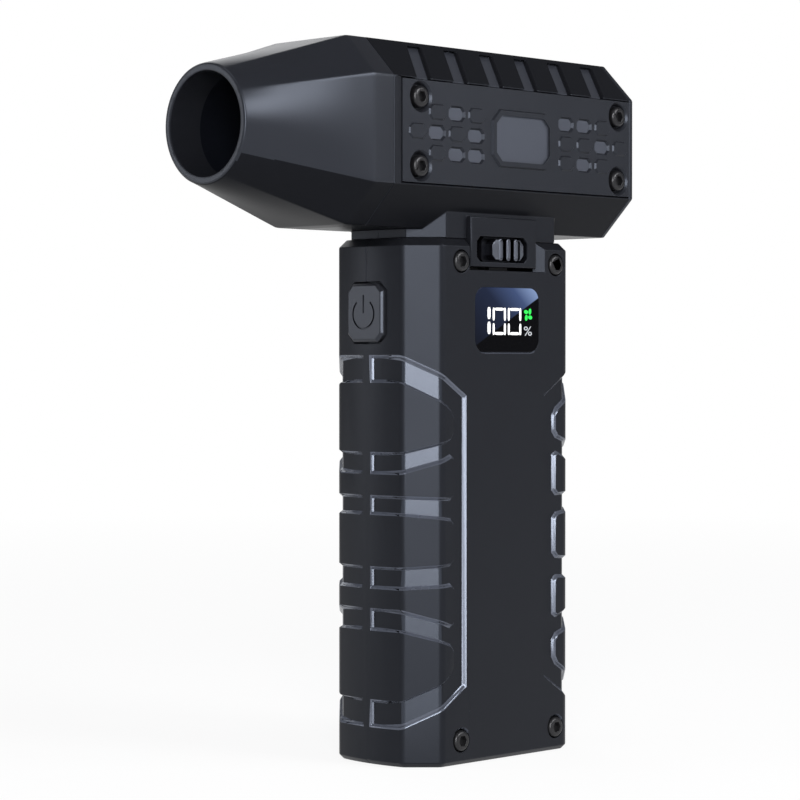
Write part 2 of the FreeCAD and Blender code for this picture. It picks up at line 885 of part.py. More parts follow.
keep("link_strips_lower", strips(cell_pitch, (-cell_pitch, dim(0)), (strip_low, cell_low)))
keep("link_strips_upper", strips(-cell_pitch, (dim(0), cell_pitch), (cell_high, strip_high)))
keep("battery_foam_lower", prism("XY", [inside_outline], (battery_low, strip_low)))
foam_ways = [
    rod("Z", at, s.lead_radius + s.fit_gap, (strip_high - s.part_gap, battery_high + s.part_gap))
    for at in lead_spots
]
keep("battery_foam_upper", cut(prism("XY", [inside_outline], (strip_high, battery_high)), *foam_ways))
keep("battery_leads", grouped([rod("Z", at, s.lead_radius, (strip_high, board_low)) for at in lead_spots]))

# Board, its screws and the parts soldered to it

hole_span_y = (board_span_y[0] - s.part_gap, board_span_y[1] + s.part_gap)
board_holes = [rod("Y", at, s.post_screw_radius + s.part_gap / 2, hole_span_y) for at in board_posts]
keep("main_board", cut(slab((-board_half, board_half), board_span_y, (board_low, board_high)), *board_holes))
keep("board_screws", grouped([fused(
    rod("Y", at, s.post_head_radius, (board_span_y[0] - s.post_head_height, board_span_y[0])),
    rod("Y", at, s.post_screw_radius, (board_span_y[0], board_rear_face + s.post_screw_length - s.part_gap)),
) for at in board_posts]))
chip_low = port_middle - s.chip_side / 2
keep("power_transistors", grouped([
    slab((x, x + s.chip_side), (board_rear_face, board_rear_face + s.chip_height), (z, z + s.chip_side))
    for x in (-s.chip_first, s.chip_pitch - s.chip_first, s.chip_pitch * 2 - s.chip_first)
    for z in (chip_low, chip_low - s.chip_pitch)
]))
capacitor_spot = (
    board_rear_face + s.capacitor_radius, chip_low - s.chip_pitch - s.capacitor_radius - s.part_gap * 2
)
keep("board_capacitor", rod(
    "X", capacitor_spot, s.capacitor_radius, (-s.capacitor_length / 2, s.capacitor_length / 2)
))
keep("control_chip", slab(
    (-s.chip_side, s.chip_side), (board_span_y[0] - s.chip_height, board_span_y[0]),
    (lens_middle - s.chip_side, lens_middle + s.chip_side)
))
socket_high = board_high + s.socket_height
socket_span_y = (-s.socket_width / 2, s.socket_width / 2)
keep("motor_socket", slab(
    (-s.socket_length / 2, s.socket_length / 2), socket_span_y, (board_high, socket_high)
))

port = new_body("charging_port")
port_rear = grip_end - s.port_inset
port_corner = s.port_width / 2 - s.port_wall
pad(port, "YZ", [moved(octagon(s.port_width / 2, s.port_height / 2, port_corner), 0, port_middle)],
    (board_half - s.port_overlap, port_rear))
pocket(port, "YZ", [moved(octagon(
    s.port_width / 2 - s.port_wall, s.port_height / 2 - s.port_wall, port_corner - s.port_wall / 2
), 0, port_middle)], (port_rear - s.port_depth, port_rear))
pad(port, "YZ", [moved(octagon(
    s.port_tongue / 2, s.port_height / 2 - s.port_wall * 4, s.port_tongue / 4
), 0, port_middle)], (port_rear - s.port_depth - s.port_wall, port_rear - s.port_wall * 2))
keep("charging_port", port)

# Display: lens on its ledge, panel in the window, board behind

lens_back = s.lens_thickness - s.grip_side
lens = new_body("display_lens")
pad(lens, "XZ", [lens_outline(dim(0))], (-s.grip_side, lens_back))
keep("display_lens", lens)
keep("display_panel", prism("XZ", [lens_outline(s.lens_ledge + s.part_gap)], (lens_back, -inside_y)))
board_x = s.lens_length / 2 + s.display_margin
board_z = s.lens_height / 2 + s.display_margin
keep("display_board", slab(
    (s.lens_forward - board_x, s.lens_forward + board_x), (-inside_y, s.display_thickness - inside_y),
    (lens_middle - board_z, lens_middle + board_z)
))

# Power button, its plunger and the switch on the board's edge

button_front = -grip_end - s.button_proud
button = new_body("power_button")
pad(button, "YZ", [moved(octagon(s.button_width / 2, s.button_height / 2, s.button_cut), 0, button_middle)],
    (button_front, lip_front + s.fit_gap))
pad(button, "YZ", [moved(octagon(
    s.button_width / 2 + s.button_lip, s.button_height / 2 + s.button_lip, s.button_cut
), 0, button_middle)], (lip_front, lip_rear))
bevel(button, s.button_proud, "X", button_front)
keep("power_button", button)
plunger_end = switch_front + s.switch_depth / 2 - s.button_travel
keep("switch_plunger", rod("X", (0, button_middle), s.plunger_radius, (lip_rear, plunger_end)))
switch = new_body("power_switch")
pad(switch, "YZ", [moved(octagon(s.switch_side / 2, s.switch_side / 2, s.port_wall), 0, button_middle)],
    (switch_front, -board_half))
pocket(switch, "YZ", [("circle", 0, button_middle, s.plunger_radius + s.part_gap / 2)],
       (switch_front, plunger_end + s.button_travel + s.part_gap))
keep("power_switch", switch)

# Lock slide: knob on its carriage, and the hook that reaches under the keeper

slot_middle = seat - s.slot_drop
knob_high = s.slot_height / 2 - s.knob_recess
carriage_high = s.slot_height / 2 + s.carriage_lip
carriage_back = notch_back - s.part_gap - s.hook_thickness
carriage_front = carriage_back - s.carriage_thickness
knob_face = s.knob_recess - s.grip_side
knob = new_body("lock_knob")
pad(knob, "XZ", [moved(clipped(
    (-s.knob_length / 2, -knob_high), (s.knob_length / 2, knob_high), s.slot_cut
), knob_rest, slot_middle)], (knob_face, carriage_front + s.fit_gap))
carriage_half = s.knob_length / 2 + s.carriage_reach
pad(knob, "XZ", [moved(clipped(
    (-carriage_half, -carriage_high), (carriage_half, carriage_high), s.slot_cut
), knob_rest, slot_middle)], (carriage_front, carriage_back))
rib_high = knob_high - s.knob_rib
for step in (-1, 0, 1):
    middle = knob_rest + s.rib_pitch * step
    pad(knob, "XZ", [clipped(
        (middle - s.knob_rib, slot_middle - rib_high), (middle + s.knob_rib, slot_middle + rib_high),
        s.knob_rib / 2
    )], (knob_face - s.knob_rib, knob_face + s.fit_gap))
keep("lock_knob", knob)

hook_back = carriage_back + s.hook_thickness
toe_high = notch_low - s.keeper_height - s.part_gap
toe_low = toe_high - s.hook_thickness
hook_span_x = (hook_middle - s.hook_length / 2, hook_middle + s.hook_length / 2)
hook = new_body("lock_hook")
pad(hook, "YZ", [[
    (s.part_gap - inside_y, toe_low), (hook_back, toe_low),
    (hook_back, slot_middle + s.hook_thickness), (carriage_back, slot_middle + s.hook_thickness),
    (carriage_back, toe_high), (s.part_gap - inside_y, toe_high),
]], hook_span_x)
keep("lock_hook", hook)

# Head: sizes worked out from the fan, about the barrel's axis

duct_inner = s.impeller_radius + s.tip_gap
duct_outer = duct_inner + s.duct_wall
damper_outer = duct_outer + s.damper_thickness
half_w = damper_outer + s.fit_gap * 2 + s.side_wall + s.plate_thickness
half_h = half_w + s.height_extra
axis_z = s.handle_height + s.neck_rise + half_h
seat_z = -(half_h + s.neck_rise)
side_high = half_h - s.barrel_cut
inner_w = half_w - s.side_wall - s.plate_thickness
inner_h = half_h - s.barrel_wall
inner_corner = inner_cut(s.barrel_cut, s.side_wall + s.plate_thickness, s.barrel_wall, s.barrel_wall)
plate_face = half_w - s.plate_thickness
plate_high = side_high - s.plate_edge
floor_z = seat_z + s.neck_floor
foot_z = seat_z - s.spigot_depth
ledge_z = foot_z + s.spigot_ledge
cover_end = s.barrel_rear + s.cover_thickness
lead_x = [-s.wire_pitch, dim(0), s.wire_pitch]


def keep_head(label, thing):
    # Takes a shape drawn about the barrel's axis, lifted to its height.
    keep(label, place(thing, 0, 0, axis_z))


# Head shells: barrel, neck and spigot round one hollow, split at the middle

barrel = prism("YZ", [octagon(half_w, half_h, s.barrel_cut)], (-s.barrel_front, s.barrel_rear))
neck = prism("XY", [octagon(s.neck_half_length, s.neck_side, s.neck_cut)], (seat_z, -side_high))
spigot_outline = octagon(s.spigot_half_length, s.spigot_half_width, s.spigot_wall)
spigot = prism("XY", [spigot_outline], (foot_z, seat_z + s.fit_gap))
neck_corner = inner_cut(s.neck_cut, s.barrel_wall, s.barrel_wall, s.barrel_wall)
inner_profile = octagon(inner_w, inner_h, inner_corner)
rib_profile = octagon(inner_w + s.fit_gap, inner_h + s.fit_gap, inner_corner)
spigot_x = s.spigot_half_length - s.spigot_wall
spigot_y = s.spigot_half_width - s.spigot_wall
plug_x = s.plug_half_length + s.part_gap / 2
plug_y = s.plug_half_width + s.part_gap / 2
hollows = [
    prism("YZ", [inner_profile], (-s.barrel_front - s.fit_gap, s.barrel_rear + s.fit_gap)),
    prism("XY", [octagon(s.neck_half_length - s.barrel_wall, s.neck_side - s.barrel_wall, neck_corner)],
          (floor_z, -side_high)),
    slab((-spigot_x, spigot_x), (-spigot_y, spigot_y), (ledge_z, floor_z + s.fit_gap)),
    slab((-plug_x, plug_x), (-plug_y, plug_y), (foot_z - s.fit_gap, floor_z)),
]
duct_rear = s.barrel_rear - s.cover_spigot - s.duct_gap
damper_low = {"front": s.damper_inset - s.duct_front, "rear": duct_rear - s.damper_inset - s.damper_width}
rib_middles = [
    damper_low["front"] + s.damper_width / 2, damper_low["rear"] + s.damper_width / 2,
]
ribs = [
    prism("YZ", [rib_profile, ("circle", 0, 0, damper_outer + s.fit_gap)],
          (middle - s.rib_width / 2, middle + s.rib_width / 2)) for middle in rib_middles
]
liner_rib_low = -(s.duct_front + s.liner_rib_inset)
ribs.append(prism(
    "YZ", [rib_profile, ("circle", 0, 0, duct_outer + s.fit_gap)],
    (liner_rib_low, liner_rib_low + s.rib_width)
))
plate_screw_spots = [
    (x, z) for x in (-s.plate_screw_front, s.plate_screw_rear)
    for z in (-s.plate_screw_height, s.plate_screw_height)
]
cover_screw_spots = [
    (y, z) for y in (-s.cover_screw_offset, s.cover_screw_offset)
    for z in (-s.cover_screw_offset, s.cover_screw_offset)
]
plate_boss_low = inner_w - s.plate_boss_height
plate_bosses = [
    rod("Y", at, s.plate_boss_radius, span) for at in plate_screw_spots
    for span in ((-inner_w - s.fit_gap, -plate_boss_low), (plate_boss_low, inner_w + s.fit_gap))
]
cover_screw_low = s.barrel_rear + s.part_gap - s.cover_screw_length
cover_bosses = [
    rod("X", at, s.cover_boss_radius, (cover_screw_low - s.part_gap * 4, s.barrel_rear))
    for at in cover_screw_spots
]
cover_pilot_span = (cover_screw_low - s.part_gap, s.barrel_rear + s.fit_gap)
cover_pilots = [
    rod("X", at, s.cover_screw_radius + s.fit_gap / 2, cover_pilot_span) for at in cover_screw_spots
]
plate_seat = plate_face - s.plate_screw_seat
plate_pilots = [
    rod("Y", at, s.screw_radius + s.fit_gap / 2, span) for at in plate_screw_spots
    for span in ((-half_w, s.fit_gap - plate_boss_low), (plate_boss_low - s.fit_gap, half_w))
]
plate_wells = [
    rod("Y", at, s.head_radius + s.part_gap / 2, span) for at in plate_screw_spots
    for span in ((-half_w, -plate_seat), (plate_seat, half_w))
]
recess_span_z = (-plate_high - s.fit_gap, plate_high + s.fit_gap)
recesses = [
    slab((-s.plate_front - s.fit_gap, s.barrel_rear + s.fit_gap), span, recess_span_z)
    for span in ((-half_w - s.fit_gap, -plate_face), (plate_face, half_w + s.fit_gap))
]
vent_high = half_h - s.vent_inset
vent_reach = half_w + s.vent_depth
vent_span_x = (-s.vent_first - s.vent_slant - s.vent_depth, s.barrel_rear)
vent_starts = [s.vent_pitch * i - s.vent_first for i in range(SIZES["vent_count"])]
vents = [prism("XZ", [[
    (x - s.vent_slant, plate_high), (x + s.vent_width - s.vent_slant, plate_high),
    (x + s.vent_width, vent_high), (x, vent_high),
]], (-vent_reach, vent_reach)) for x in vent_starts]
vent_corner = inner_cut(s.barrel_cut, s.vent_depth, s.vent_depth, s.vent_depth)
vent_band = prism("YZ", [
    octagon(vent_reach, half_h + s.vent_depth, s.barrel_cut),
    octagon(half_w - s.vent_depth, half_h - s.vent_depth, vent_corner),
], vent_span_x)
slide_way = slab(
    (s.part_gap - s.notch_front, s.notch_rear - s.part_gap * 2),
    (-s.grip_side + s.tongue_thickness, notch_back - s.part_gap),
    (seat_z - s.fit_gap, seat_z - s.slot_drop + carriage_high + s.part_gap),
)
head = cut(
    fused(cut(fused(barrel, neck, spigot), *hollows), *ribs, *plate_bosses, *cover_bosses),
    *recesses, *cover_pilots, *plate_pilots, *plate_wells, shared(fused(*vents), vent_band)
)
head_reach_x = (-s.barrel_front - s.part_gap, s.barrel_rear + s.part_gap)
head_reach_z = (foot_z - s.part_gap, half_h + s.part_gap)
slot_outline = moved(clipped(
    (-s.slot_length / 2, -s.slot_height / 2), (s.slot_length / 2, s.slot_height / 2), s.slot_cut
), -s.slot_forward, seat_z - s.slot_drop)
slot_way = prism("XZ", [slot_outline], (-s.grip_side - s.part_gap, s.tongue_thickness - s.neck_side))
tongue_block = slab(
    (s.tongue_gap - s.notch_front, s.notch_rear - s.tongue_gap),
    (-s.grip_side, s.tongue_thickness - s.grip_side),
    (seat_z - s.notch_depth + s.tongue_foot_gap, seat_z + s.tongue_top),
)
tongue_way = prism(
    "XZ", [slot_outline], (-s.grip_side - s.part_gap, s.tongue_thickness - s.grip_side + s.part_gap)
)
left_head = shared(head, slab(head_reach_x, (-half_w - s.part_gap, dim(0)), head_reach_z))
keep_head("head_shell_left", fused(cut(left_head, slide_way, slot_way), cut(tongue_block, tongue_way)))
keep_head("head_shell_right", shared(head, slab(head_reach_x, (dim(0), half_w + s.part_gap), head_reach_z)))

# Side plates with their cells and badge field, and their screws

plate_block = slab((-s.plate_front, s.barrel_rear), (-half_w, -plate_face), (-plate_high, plate_high))


def cell_prisms(spots, start, pitch, span):
    half_x = s.cell_pad_length / 2
    half_z = s.cell_pad_height / 2
    cell = clipped((-half_x, -half_z), (half_x, half_z), s.cell_pad_cut)
    return [
        prism("XZ", [moved(cell, start + pitch * column, s.cell_pitch_z * (1 - row))], span)
        for column, row in spots
    ]


raised_span = (-half_w - s.cell_pad_rise, -half_w + s.fit_gap)
sunk_span = (-half_w - s.fit_gap, -half_w + s.cell_pocket_depth)
front_grid = (-s.cells_front, s.cell_pitch_front)
rear_grid = (s.cells_rear, s.cell_pitch_rear)
raised = [
    *cell_prisms(FRONT_RAISED, *front_grid, raised_span), *cell_prisms(REAR_RAISED, *rear_grid, raised_span)
]
sunk = [*cell_prisms(FRONT_SUNK, *front_grid, sunk_span), *cell_prisms(REAR_SUNK, *rear_grid, sunk_span)]
badge_frame = prism("XZ", [
    clipped((-s.badge_front, -s.badge_half_height), (s.badge_rear, s.badge_half_height), s.badge_cut),
    clipped((s.badge_rim - s.badge_front, s.badge_rim - s.badge_half_height),
            (s.badge_rear - s.badge_rim, s.badge_half_height - s.badge_rim), s.badge_cut - s.badge_rim / 2),
], (-half_w - s.badge_rise, -half_w + s.fit_gap))
cone_radii = (s.recess_radius, s.head_radius + s.part_gap)
plate_cones = [
    funnel("Y", at, cone_radii, (-half_w - s.fit_gap, s.fit_gap - plate_face)) for at in plate_screw_spots
]
plate = cut(fused(plate_block, *raised, badge_frame), *sunk, *plate_cones)
plate_screws = grouped([
    cap_screw(x, z, -plate_seat - s.head_height, s.plate_screw_length) for x, z in plate_screw_spots
])
keep_head("side_plate_left", plate)
keep("side_plate_right", mirrored(plate))
keep_head("plate_screws_left", plate_screws)
keep("plate_screws_right", mirrored(plate_screws))

# Nose: octagon that runs into the round outlet

rim_radius = s.outlet_radius + s.rim_wall
kink_x = -(s.barrel_front + s.nose_straight)
tip_x = kink_x - s.nose_taper


def to_circle(outline, radius):
    # The corners of an outline drawn in to a circle, joined by its arcs.
    return [
        (a * radius / root(dim(a) * a + dim(b) * b), b * radius / root(dim(a) * a + dim(b) * b), radius)
        for a, b in outline
    ]


def lofted(outline, low, radius, high):
    solid = doc.addObject("Part::Loft", "Loft")
    solid.Sections = [sketch_on("YZ", [outline], low), sketch_on("YZ", [to_circle(outline, radius)], high)]
    solid.Solid = True
    solid.Ruled = True
    return solid


outer_profile = octagon(half_w, half_h, s.barrel_cut)
nose_inner_w = half_w - s.barrel_wall
nose_inner_h = half_h - s.barrel_wall
nose_inner_corner = inner_cut(s.barrel_cut, s.barrel_wall, s.barrel_wall, s.barrel_wall)
nose_inner_profile = octagon(nose_inner_w, nose_inner_h, nose_inner_corner)
bore_x = tip_x + s.outlet_length
land_x = bore_x + s.nose_land
taper_share = (s.outlet_length + s.nose_land) / s.nose_taper
land_radius = rim_radius + (half_w - rim_radius) * taper_share - s.barrel_wall
joint_w = inner_w - s.part_gap
joint_h = inner_h - s.part_gap
joint_profile = octagon(joint_w, joint_h, inner_corner)
joint_inner = octagon(
    joint_w - s.nose_spigot_wall, joint_h - s.nose_spigot_wall,
    inner_cut(inner_corner, s.nose_spigot_wall, s.nose_spigot_wall, s.nose_spigot_wall)
)
liner_front_radius = s.outlet_radius + s.duct_wall
rim_edge = turned([[
    (tip_x - s.fit_gap, rim_radius - s.rim_bevel), (tip_x + s.rim_bevel, rim_radius + s.fit_gap),
    (tip_x + s.rim_bevel, rim_radius + s.rim_wall), (tip_x - s.fit_gap, rim_radius + s.rim_wall),
]])
nose_outer = fused(
    prism("YZ", [outer_profile], (kink_x, -s.barrel_front)),
    lofted(outer_profile, kink_x, rim_radius, tip_x),
    prism("YZ", [joint_profile], (-s.barrel_front - s.nose_spigot_wall, s.nose_spigot - s.barrel_front)),
)
joint_span = (-s.barrel_front - s.nose_spigot_wall * 2, s.nose_spigot - s.barrel_front + s.fit_gap)
keep_head("nose_cone", cut(
    nose_outer,
    prism("YZ", [nose_inner_profile], (kink_x, -s.barrel_front - s.nose_spigot_wall)),
    lofted(nose_inner_profile, kink_x, land_radius, land_x),
    prism("YZ", [joint_inner], joint_span),
    rod("X", (0, 0), liner_front_radius + s.part_gap / 2, (bore_x, land_x + s.fit_gap)),
    rod("X", (0, 0), s.outlet_radius, (tip_x - s.fit_gap, land_x)),
    rim_edge,
))

# Air path: liner from the fan to the outlet, fan duct with the motor's hub on its vanes

keep_head("outlet_liner", turned([[
    (bore_x, s.outlet_radius), (-s.duct_front, duct_inner),
    (-s.duct_front, duct_outer), (bore_x, liner_front_radius),
]]))

hub_outer = s.stator_radius + s.hub_wall
fan_duct = new_body("fan_duct")
spin(fan_duct, "Revolution", [[
    (-s.hub_front, s.bearing_radius), (s.bearing_width - s.hub_front, s.bearing_radius),
    (s.bearing_width - s.hub_front, s.stator_radius), (s.hub_rear, s.stator_radius),
    (s.hub_rear, hub_outer), (-s.hub_front, hub_outer),
]])
vane_wide = (s.vane_slant + s.vane_thickness) / 2
vane_narrow = (s.vane_slant - s.vane_thickness) / 2
vane = pad(fan_duct, "XY", [[
    (-s.hub_front, -vane_wide), (s.hub_rear, vane_narrow),
    (s.hub_rear, vane_wide), (-s.hub_front, -vane_narrow),
]], (hub_outer - s.hub_wall / 2, duct_inner + s.duct_wall / 2))
repeated(fan_duct, [vane], s.vane_count)
spin(fan_duct, "Revolution", [[
    (-s.duct_front, duct_inner), (duct_rear, duct_inner),
    (duct_rear, duct_outer), (-s.duct_front, duct_outer),
]])
pocket(fan_duct, "XY", [("circle", x, 0, s.wire_radius + s.fit_gap) for x in lead_x],
       (-duct_outer - s.part_gap, -s.stator_radius + s.part_gap))
keep_head("fan_duct", fan_duct)
keep_head("tail_cone", turned([[
    (-s.hub_front, hub_outer - s.hub_wall), (-s.hub_front, hub_outer),
    (-s.hub_front - s.tail_length, s.tail_tip), (-s.hub_front - s.tail_length, 0),
    (s.hub_wall - s.hub_front - s.tail_length, 0),
]]))
for where in ("front", "rear"):
    low = damper_low[where]
    keep_head(f"damper_ring_{where}", turned([[
        (low, duct_outer), (low + s.damper_width, duct_outer),
        (low + s.damper_width, damper_outer), (low, damper_outer),
    ]]))

# Motor: end cap, stator, bearings

bearing_rear_x = s.hub_rear - s.bearing_width
keep_head("motor_end_cap", turned([[
    (bearing_rear_x, s.bearing_radius), (s.hub_rear, s.bearing_radius),
    (s.hub_rear, s.stator_radius), (bearing_rear_x, s.stator_radius),
]]))
bearing_bore = s.shaft_radius + s.running_gap
for where, low in {"front": -s.hub_front, "rear": bearing_rear_x}.items():
    keep_head(f"bearing_{where}", turned([[
        (low, bearing_bore), (low + s.bearing_width, bearing_bore),
        (low + s.bearing_width, s.bearing_radius), (low, s.bearing_radius),
    ]]))
core_inner = s.stator_radius - s.core_ring
tooth_low = s.magnet_radius + s.air_gap
core = new_body("stator_core")
spin(core, "Revolution", [[
    (-s.core_front, core_inner), (s.core_rear, core_inner),
    (s.core_rear, s.stator_radius), (-s.core_front, s.stator_radius),
]])
tooth_outline = [
    (-s.core_front, -s.tooth_width / 2), (s.core_rear, -s.tooth_width / 2),
    (s.core_rear, s.tooth_width / 2), (-s.core_front, s.tooth_width / 2),
]
tooth = pad(core, "XY", [tooth_outline], (tooth_low, core_inner + s.core_ring / 2))
repeated(core, [tooth], s.tooth_count)
keep_head("stator_core", core)
coil_front = -(s.core_front + s.coil_end)
coil_rear = s.core_rear + s.coil_end
coil_low = tooth_low + s.air_gap
windings = new_body("stator_windings")
spin(windings, "Revolution", [[
    (s.core_rear, coil_low), (coil_rear, coil_low), (coil_rear, core_inner), (s.core_rear, core_inner),
]])
coil = pad(windings, "XY", [[
    (coil_front, -s.coil_width / 2), (coil_rear, -s.coil_width / 2),
    (coil_rear, s.coil_width / 2), (coil_front, s.coil_width / 2),
], tooth_outline], (coil_low, core_inner - s.air_gap / 2))
repeated(windings, [coil], s.tooth_count)
keep_head("stator_windings", windings)

# Rotor: shaft, magnet, impeller and its nut

nut_front = s.impeller_front + s.impeller_length
nut_rear = nut_front + s.nut_length
shaft_end = nut_rear - s.bearing_width / 6
keep("motor_shaft", rod("X", (0, axis_z), s.shaft_radius, (-s.hub_front - s.air_gap, shaft_end)))
keep_head("rotor_magnet", turned([[
    (-s.core_front, s.shaft_radius), (s.core_rear, s.shaft_radius),
    (s.core_rear, s.magnet_radius), (-s.core_front, s.magnet_radius),
]]))
impeller = new_body("impeller")
spin(impeller, "Revolution", [[
    (s.impeller_front, s.shaft_radius), (nut_front, s.shaft_radius),
    (nut_front, s.impeller_eye), (s.impeller_front, hub_outer),
]])
blade_front = s.impeller_front + s.blade_thickness / 2
blade_rear = nut_front - s.blade_thickness / 2
blade_wide = (s.blade_slant + s.blade_thickness) / 2
blade_narrow = (s.blade_slant - s.blade_thickness) / 2
blade = pad(impeller, "XY", [[
    (blade_front, -blade_wide), (blade_rear, blade_narrow),
    (blade_rear, blade_wide), (blade_front, -blade_narrow),
]], (s.impeller_eye - s.blade_thickness, s.impeller_radius + s.hub_wall))
repeated(impeller, [blade], s.blade_count)
trim_front = s.impeller_front - s.hub_wall
trim_rear = nut_front + s.hub_wall
trim_outer = duct_outer + s.hub_wall * 3
spin(impeller, "Groove", [[
    (trim_front, s.impeller_radius), (trim_rear, s.impeller_radius),
    (trim_rear, trim_outer), (trim_front, trim_outer),
]])
keep_head("impeller", impeller)
nut = new_body("impeller_nut")
nut_side = s.nut_radius
nut_rise = s.nut_radius * math.sqrt(3) / 2
pad(nut, "YZ", [[
    (nut_side, 0), (nut_side / 2, nut_rise), (-nut_side / 2, nut_rise),
    (-nut_side, 0), (-nut_side / 2, -nut_rise), (nut_side / 2, -nut_rise),
]], (nut_front, nut_rear))
pocket(nut, "YZ", [("circle", 0, 0, s.shaft_radius)], (nut_front, shaft_end))
keep_head("impeller_nut", nut)

# Rear cover with its grille, mesh and screws

cover = new_body("rear_cover")
pad(cover, "YZ", [outer_profile], (s.barrel_rear, cover_end))
bevel(cover, s.cover_dome, "X", cover_end)
pocket(cover, "YZ", [("circle", 0, 0, duct_inner)], (s.barrel_rear, cover_end))
bar_reach = duct_inner + s.duct_wall / 2
bar_half = s.grille_bar / 2
grille_end = cover_end - s.grille_bar / 4
spoke = pad(cover, "YZ", [[
    (-bar_half, 0), (bar_half, 0), (bar_half, bar_reach), (-bar_half, bar_reach),
]], (s.barrel_rear, grille_end))
repeated(cover, [spoke], s.grille_spokes)
ring_pitch = (duct_inner - s.grille_hub) / (s.grille_rings + 1)
ring_middles = [s.grille_hub + ring_pitch * i for i in range(1, SIZES["grille_rings"] + 1)]
ring_bands = [(dim(0), s.grille_hub)] + [(middle - bar_half, middle + bar_half) for middle in ring_middles]
spin(cover, "Revolution", [[
    (s.barrel_rear, low), (grille_end, low), (grille_end, high), (s.barrel_rear, high),
] for low, high in ring_bands])
cover_spigot_x = s.barrel_rear - s.cover_spigot
spin(cover, "Revolution", [[
    (cover_spigot_x, duct_inner), (s.barrel_rear + s.fit_gap, duct_inner),
    (s.barrel_rear + s.fit_gap, duct_outer), (cover_spigot_x, duct_outer),
]])
cover_head_low = cover_end - s.part_gap - s.cover_head_height
pocket(cover, "YZ", [("circle", y, z, s.cover_screw_radius + s.part_gap / 2) for y, z in cover_screw_spots],
       (s.barrel_rear, cover_end))
pocket(cover, "YZ", [("circle", y, z, s.cover_head_radius + s.part_gap / 2) for y, z in cover_screw_spots],
       (cover_head_low, cover_end))
keep_head("rear_cover", cover)


def cover_screw(y, z):
    head = rod("X", (y, z), s.cover_head_radius, (cover_head_low, cover_head_low + s.cover_head_height))
    shank = rod("X", (y, z), s.cover_screw_radius, (cover_screw_low, cover_head_low))
    reach = s.cover_screw_radius
    rise = reach * math.sqrt(3) / 2
    socket = prism("YZ", [[
        (y + reach, z), (y + reach / 2, z + rise), (y - reach / 2, z + rise),
        (y - reach, z), (y - reach / 2, z - rise), (y + reach / 2, z - rise),
    ]], (cover_head_low + s.cover_head_height / 2, cover_head_low + s.cover_head_height + s.fit_gap))
    return cut(fused(head, shank), socket)


keep_head("rear_cover_screws", grouped([cover_screw(y, z) for y, z in cover_screw_spots]))

mesh_front = s.barrel_rear - s.mesh_thickness
mesh_span = (mesh_front, s.barrel_rear)
mesh_lines = [s.mesh_pitch * i for i in range(-3, 4)]
mesh_bars = [
    bar for line in mesh_lines for bar in (
        slab(mesh_span, (line - s.mesh_bar / 2, line + s.mesh_bar / 2), (-duct_inner, duct_inner)),
        slab(mesh_span, (-duct_inner, duct_inner), (line - s.mesh_bar / 2, line + s.mesh_bar / 2)),
    )
]
mesh_rim = turned([[
    (mesh_front, duct_inner - s.mesh_bar * 2), (s.barrel_rear, duct_inner - s.mesh_bar * 2),
    (s.barrel_rear, duct_inner), (mesh_front, duct_inner),
]])
keep_head("intake_mesh", fused(shared(fused(*mesh_bars), rod("X", (0, 0), duct_inner, mesh_span)), mesh_rim))

# Motor plug in the spigot, its leads and the grommet at the duct

plug_low = socket_high - axis_z
plug_high = ledge_z + s.plug_flange
keep_head("motor_plug", fused(
    slab((-s.plug_half_length, s.plug_half_length), (-s.plug_half_width, s.plug_half_width),
         (plug_low, ledge_z)),
    slab((-s.plug_half_length - s.plug_rim, s.plug_half_length + s.plug_rim),
         (-s.plug_half_width - s.plug_rim, s.plug_half_width + s.plug_rim), (ledge_z, plug_high)),
))
lead_end = -s.stator_radius
keep_head("motor_leads", grouped([rod("Z", (x, 0), s.wire_radius, (plug_high, lead_end)) for x in lead_x]))
grommet_x = s.wire_pitch + s.wire_radius * 2
grommet = slab((-grommet_x, grommet_x), (-s.wire_radius * 2, s.wire_radius * 2),
               (-duct_outer - s.damper_thickness, -duct_inner))
keep_head("lead_grommet", cut(
    grommet, rod("X", (0, 0), duct_outer, (-s.duct_front, duct_rear)),
    *[rod("Z", (x, 0), s.wire_radius, (-duct_outer - s.damper_width, -duct_inner)) for x in lead_x],
))

# Checks and files

doc.recompute()
for item in doc.Objects:
    if "Invalid" in item.State or "Error" in item.State:
        raise SystemExit(f"{item.Name} ({item.Label}) is {item.State}")
for label, item in nodes.items():
    shape = item.Shape
    if shape.isNull() or not shape.isValid() or not shape.Solids:
        raise SystemExit(f"{label} has no valid solid")

os.makedirs("parts", exist_ok=True)
for label, item in nodes.items():
    item.Shape.exportStep(f"parts/{label}.step")
    print(label, len(item.Shape.Solids), round(item.Shape.Volume, 1))
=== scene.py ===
import bmesh
import bpy
import math
from mathutils import Matrix, Vector


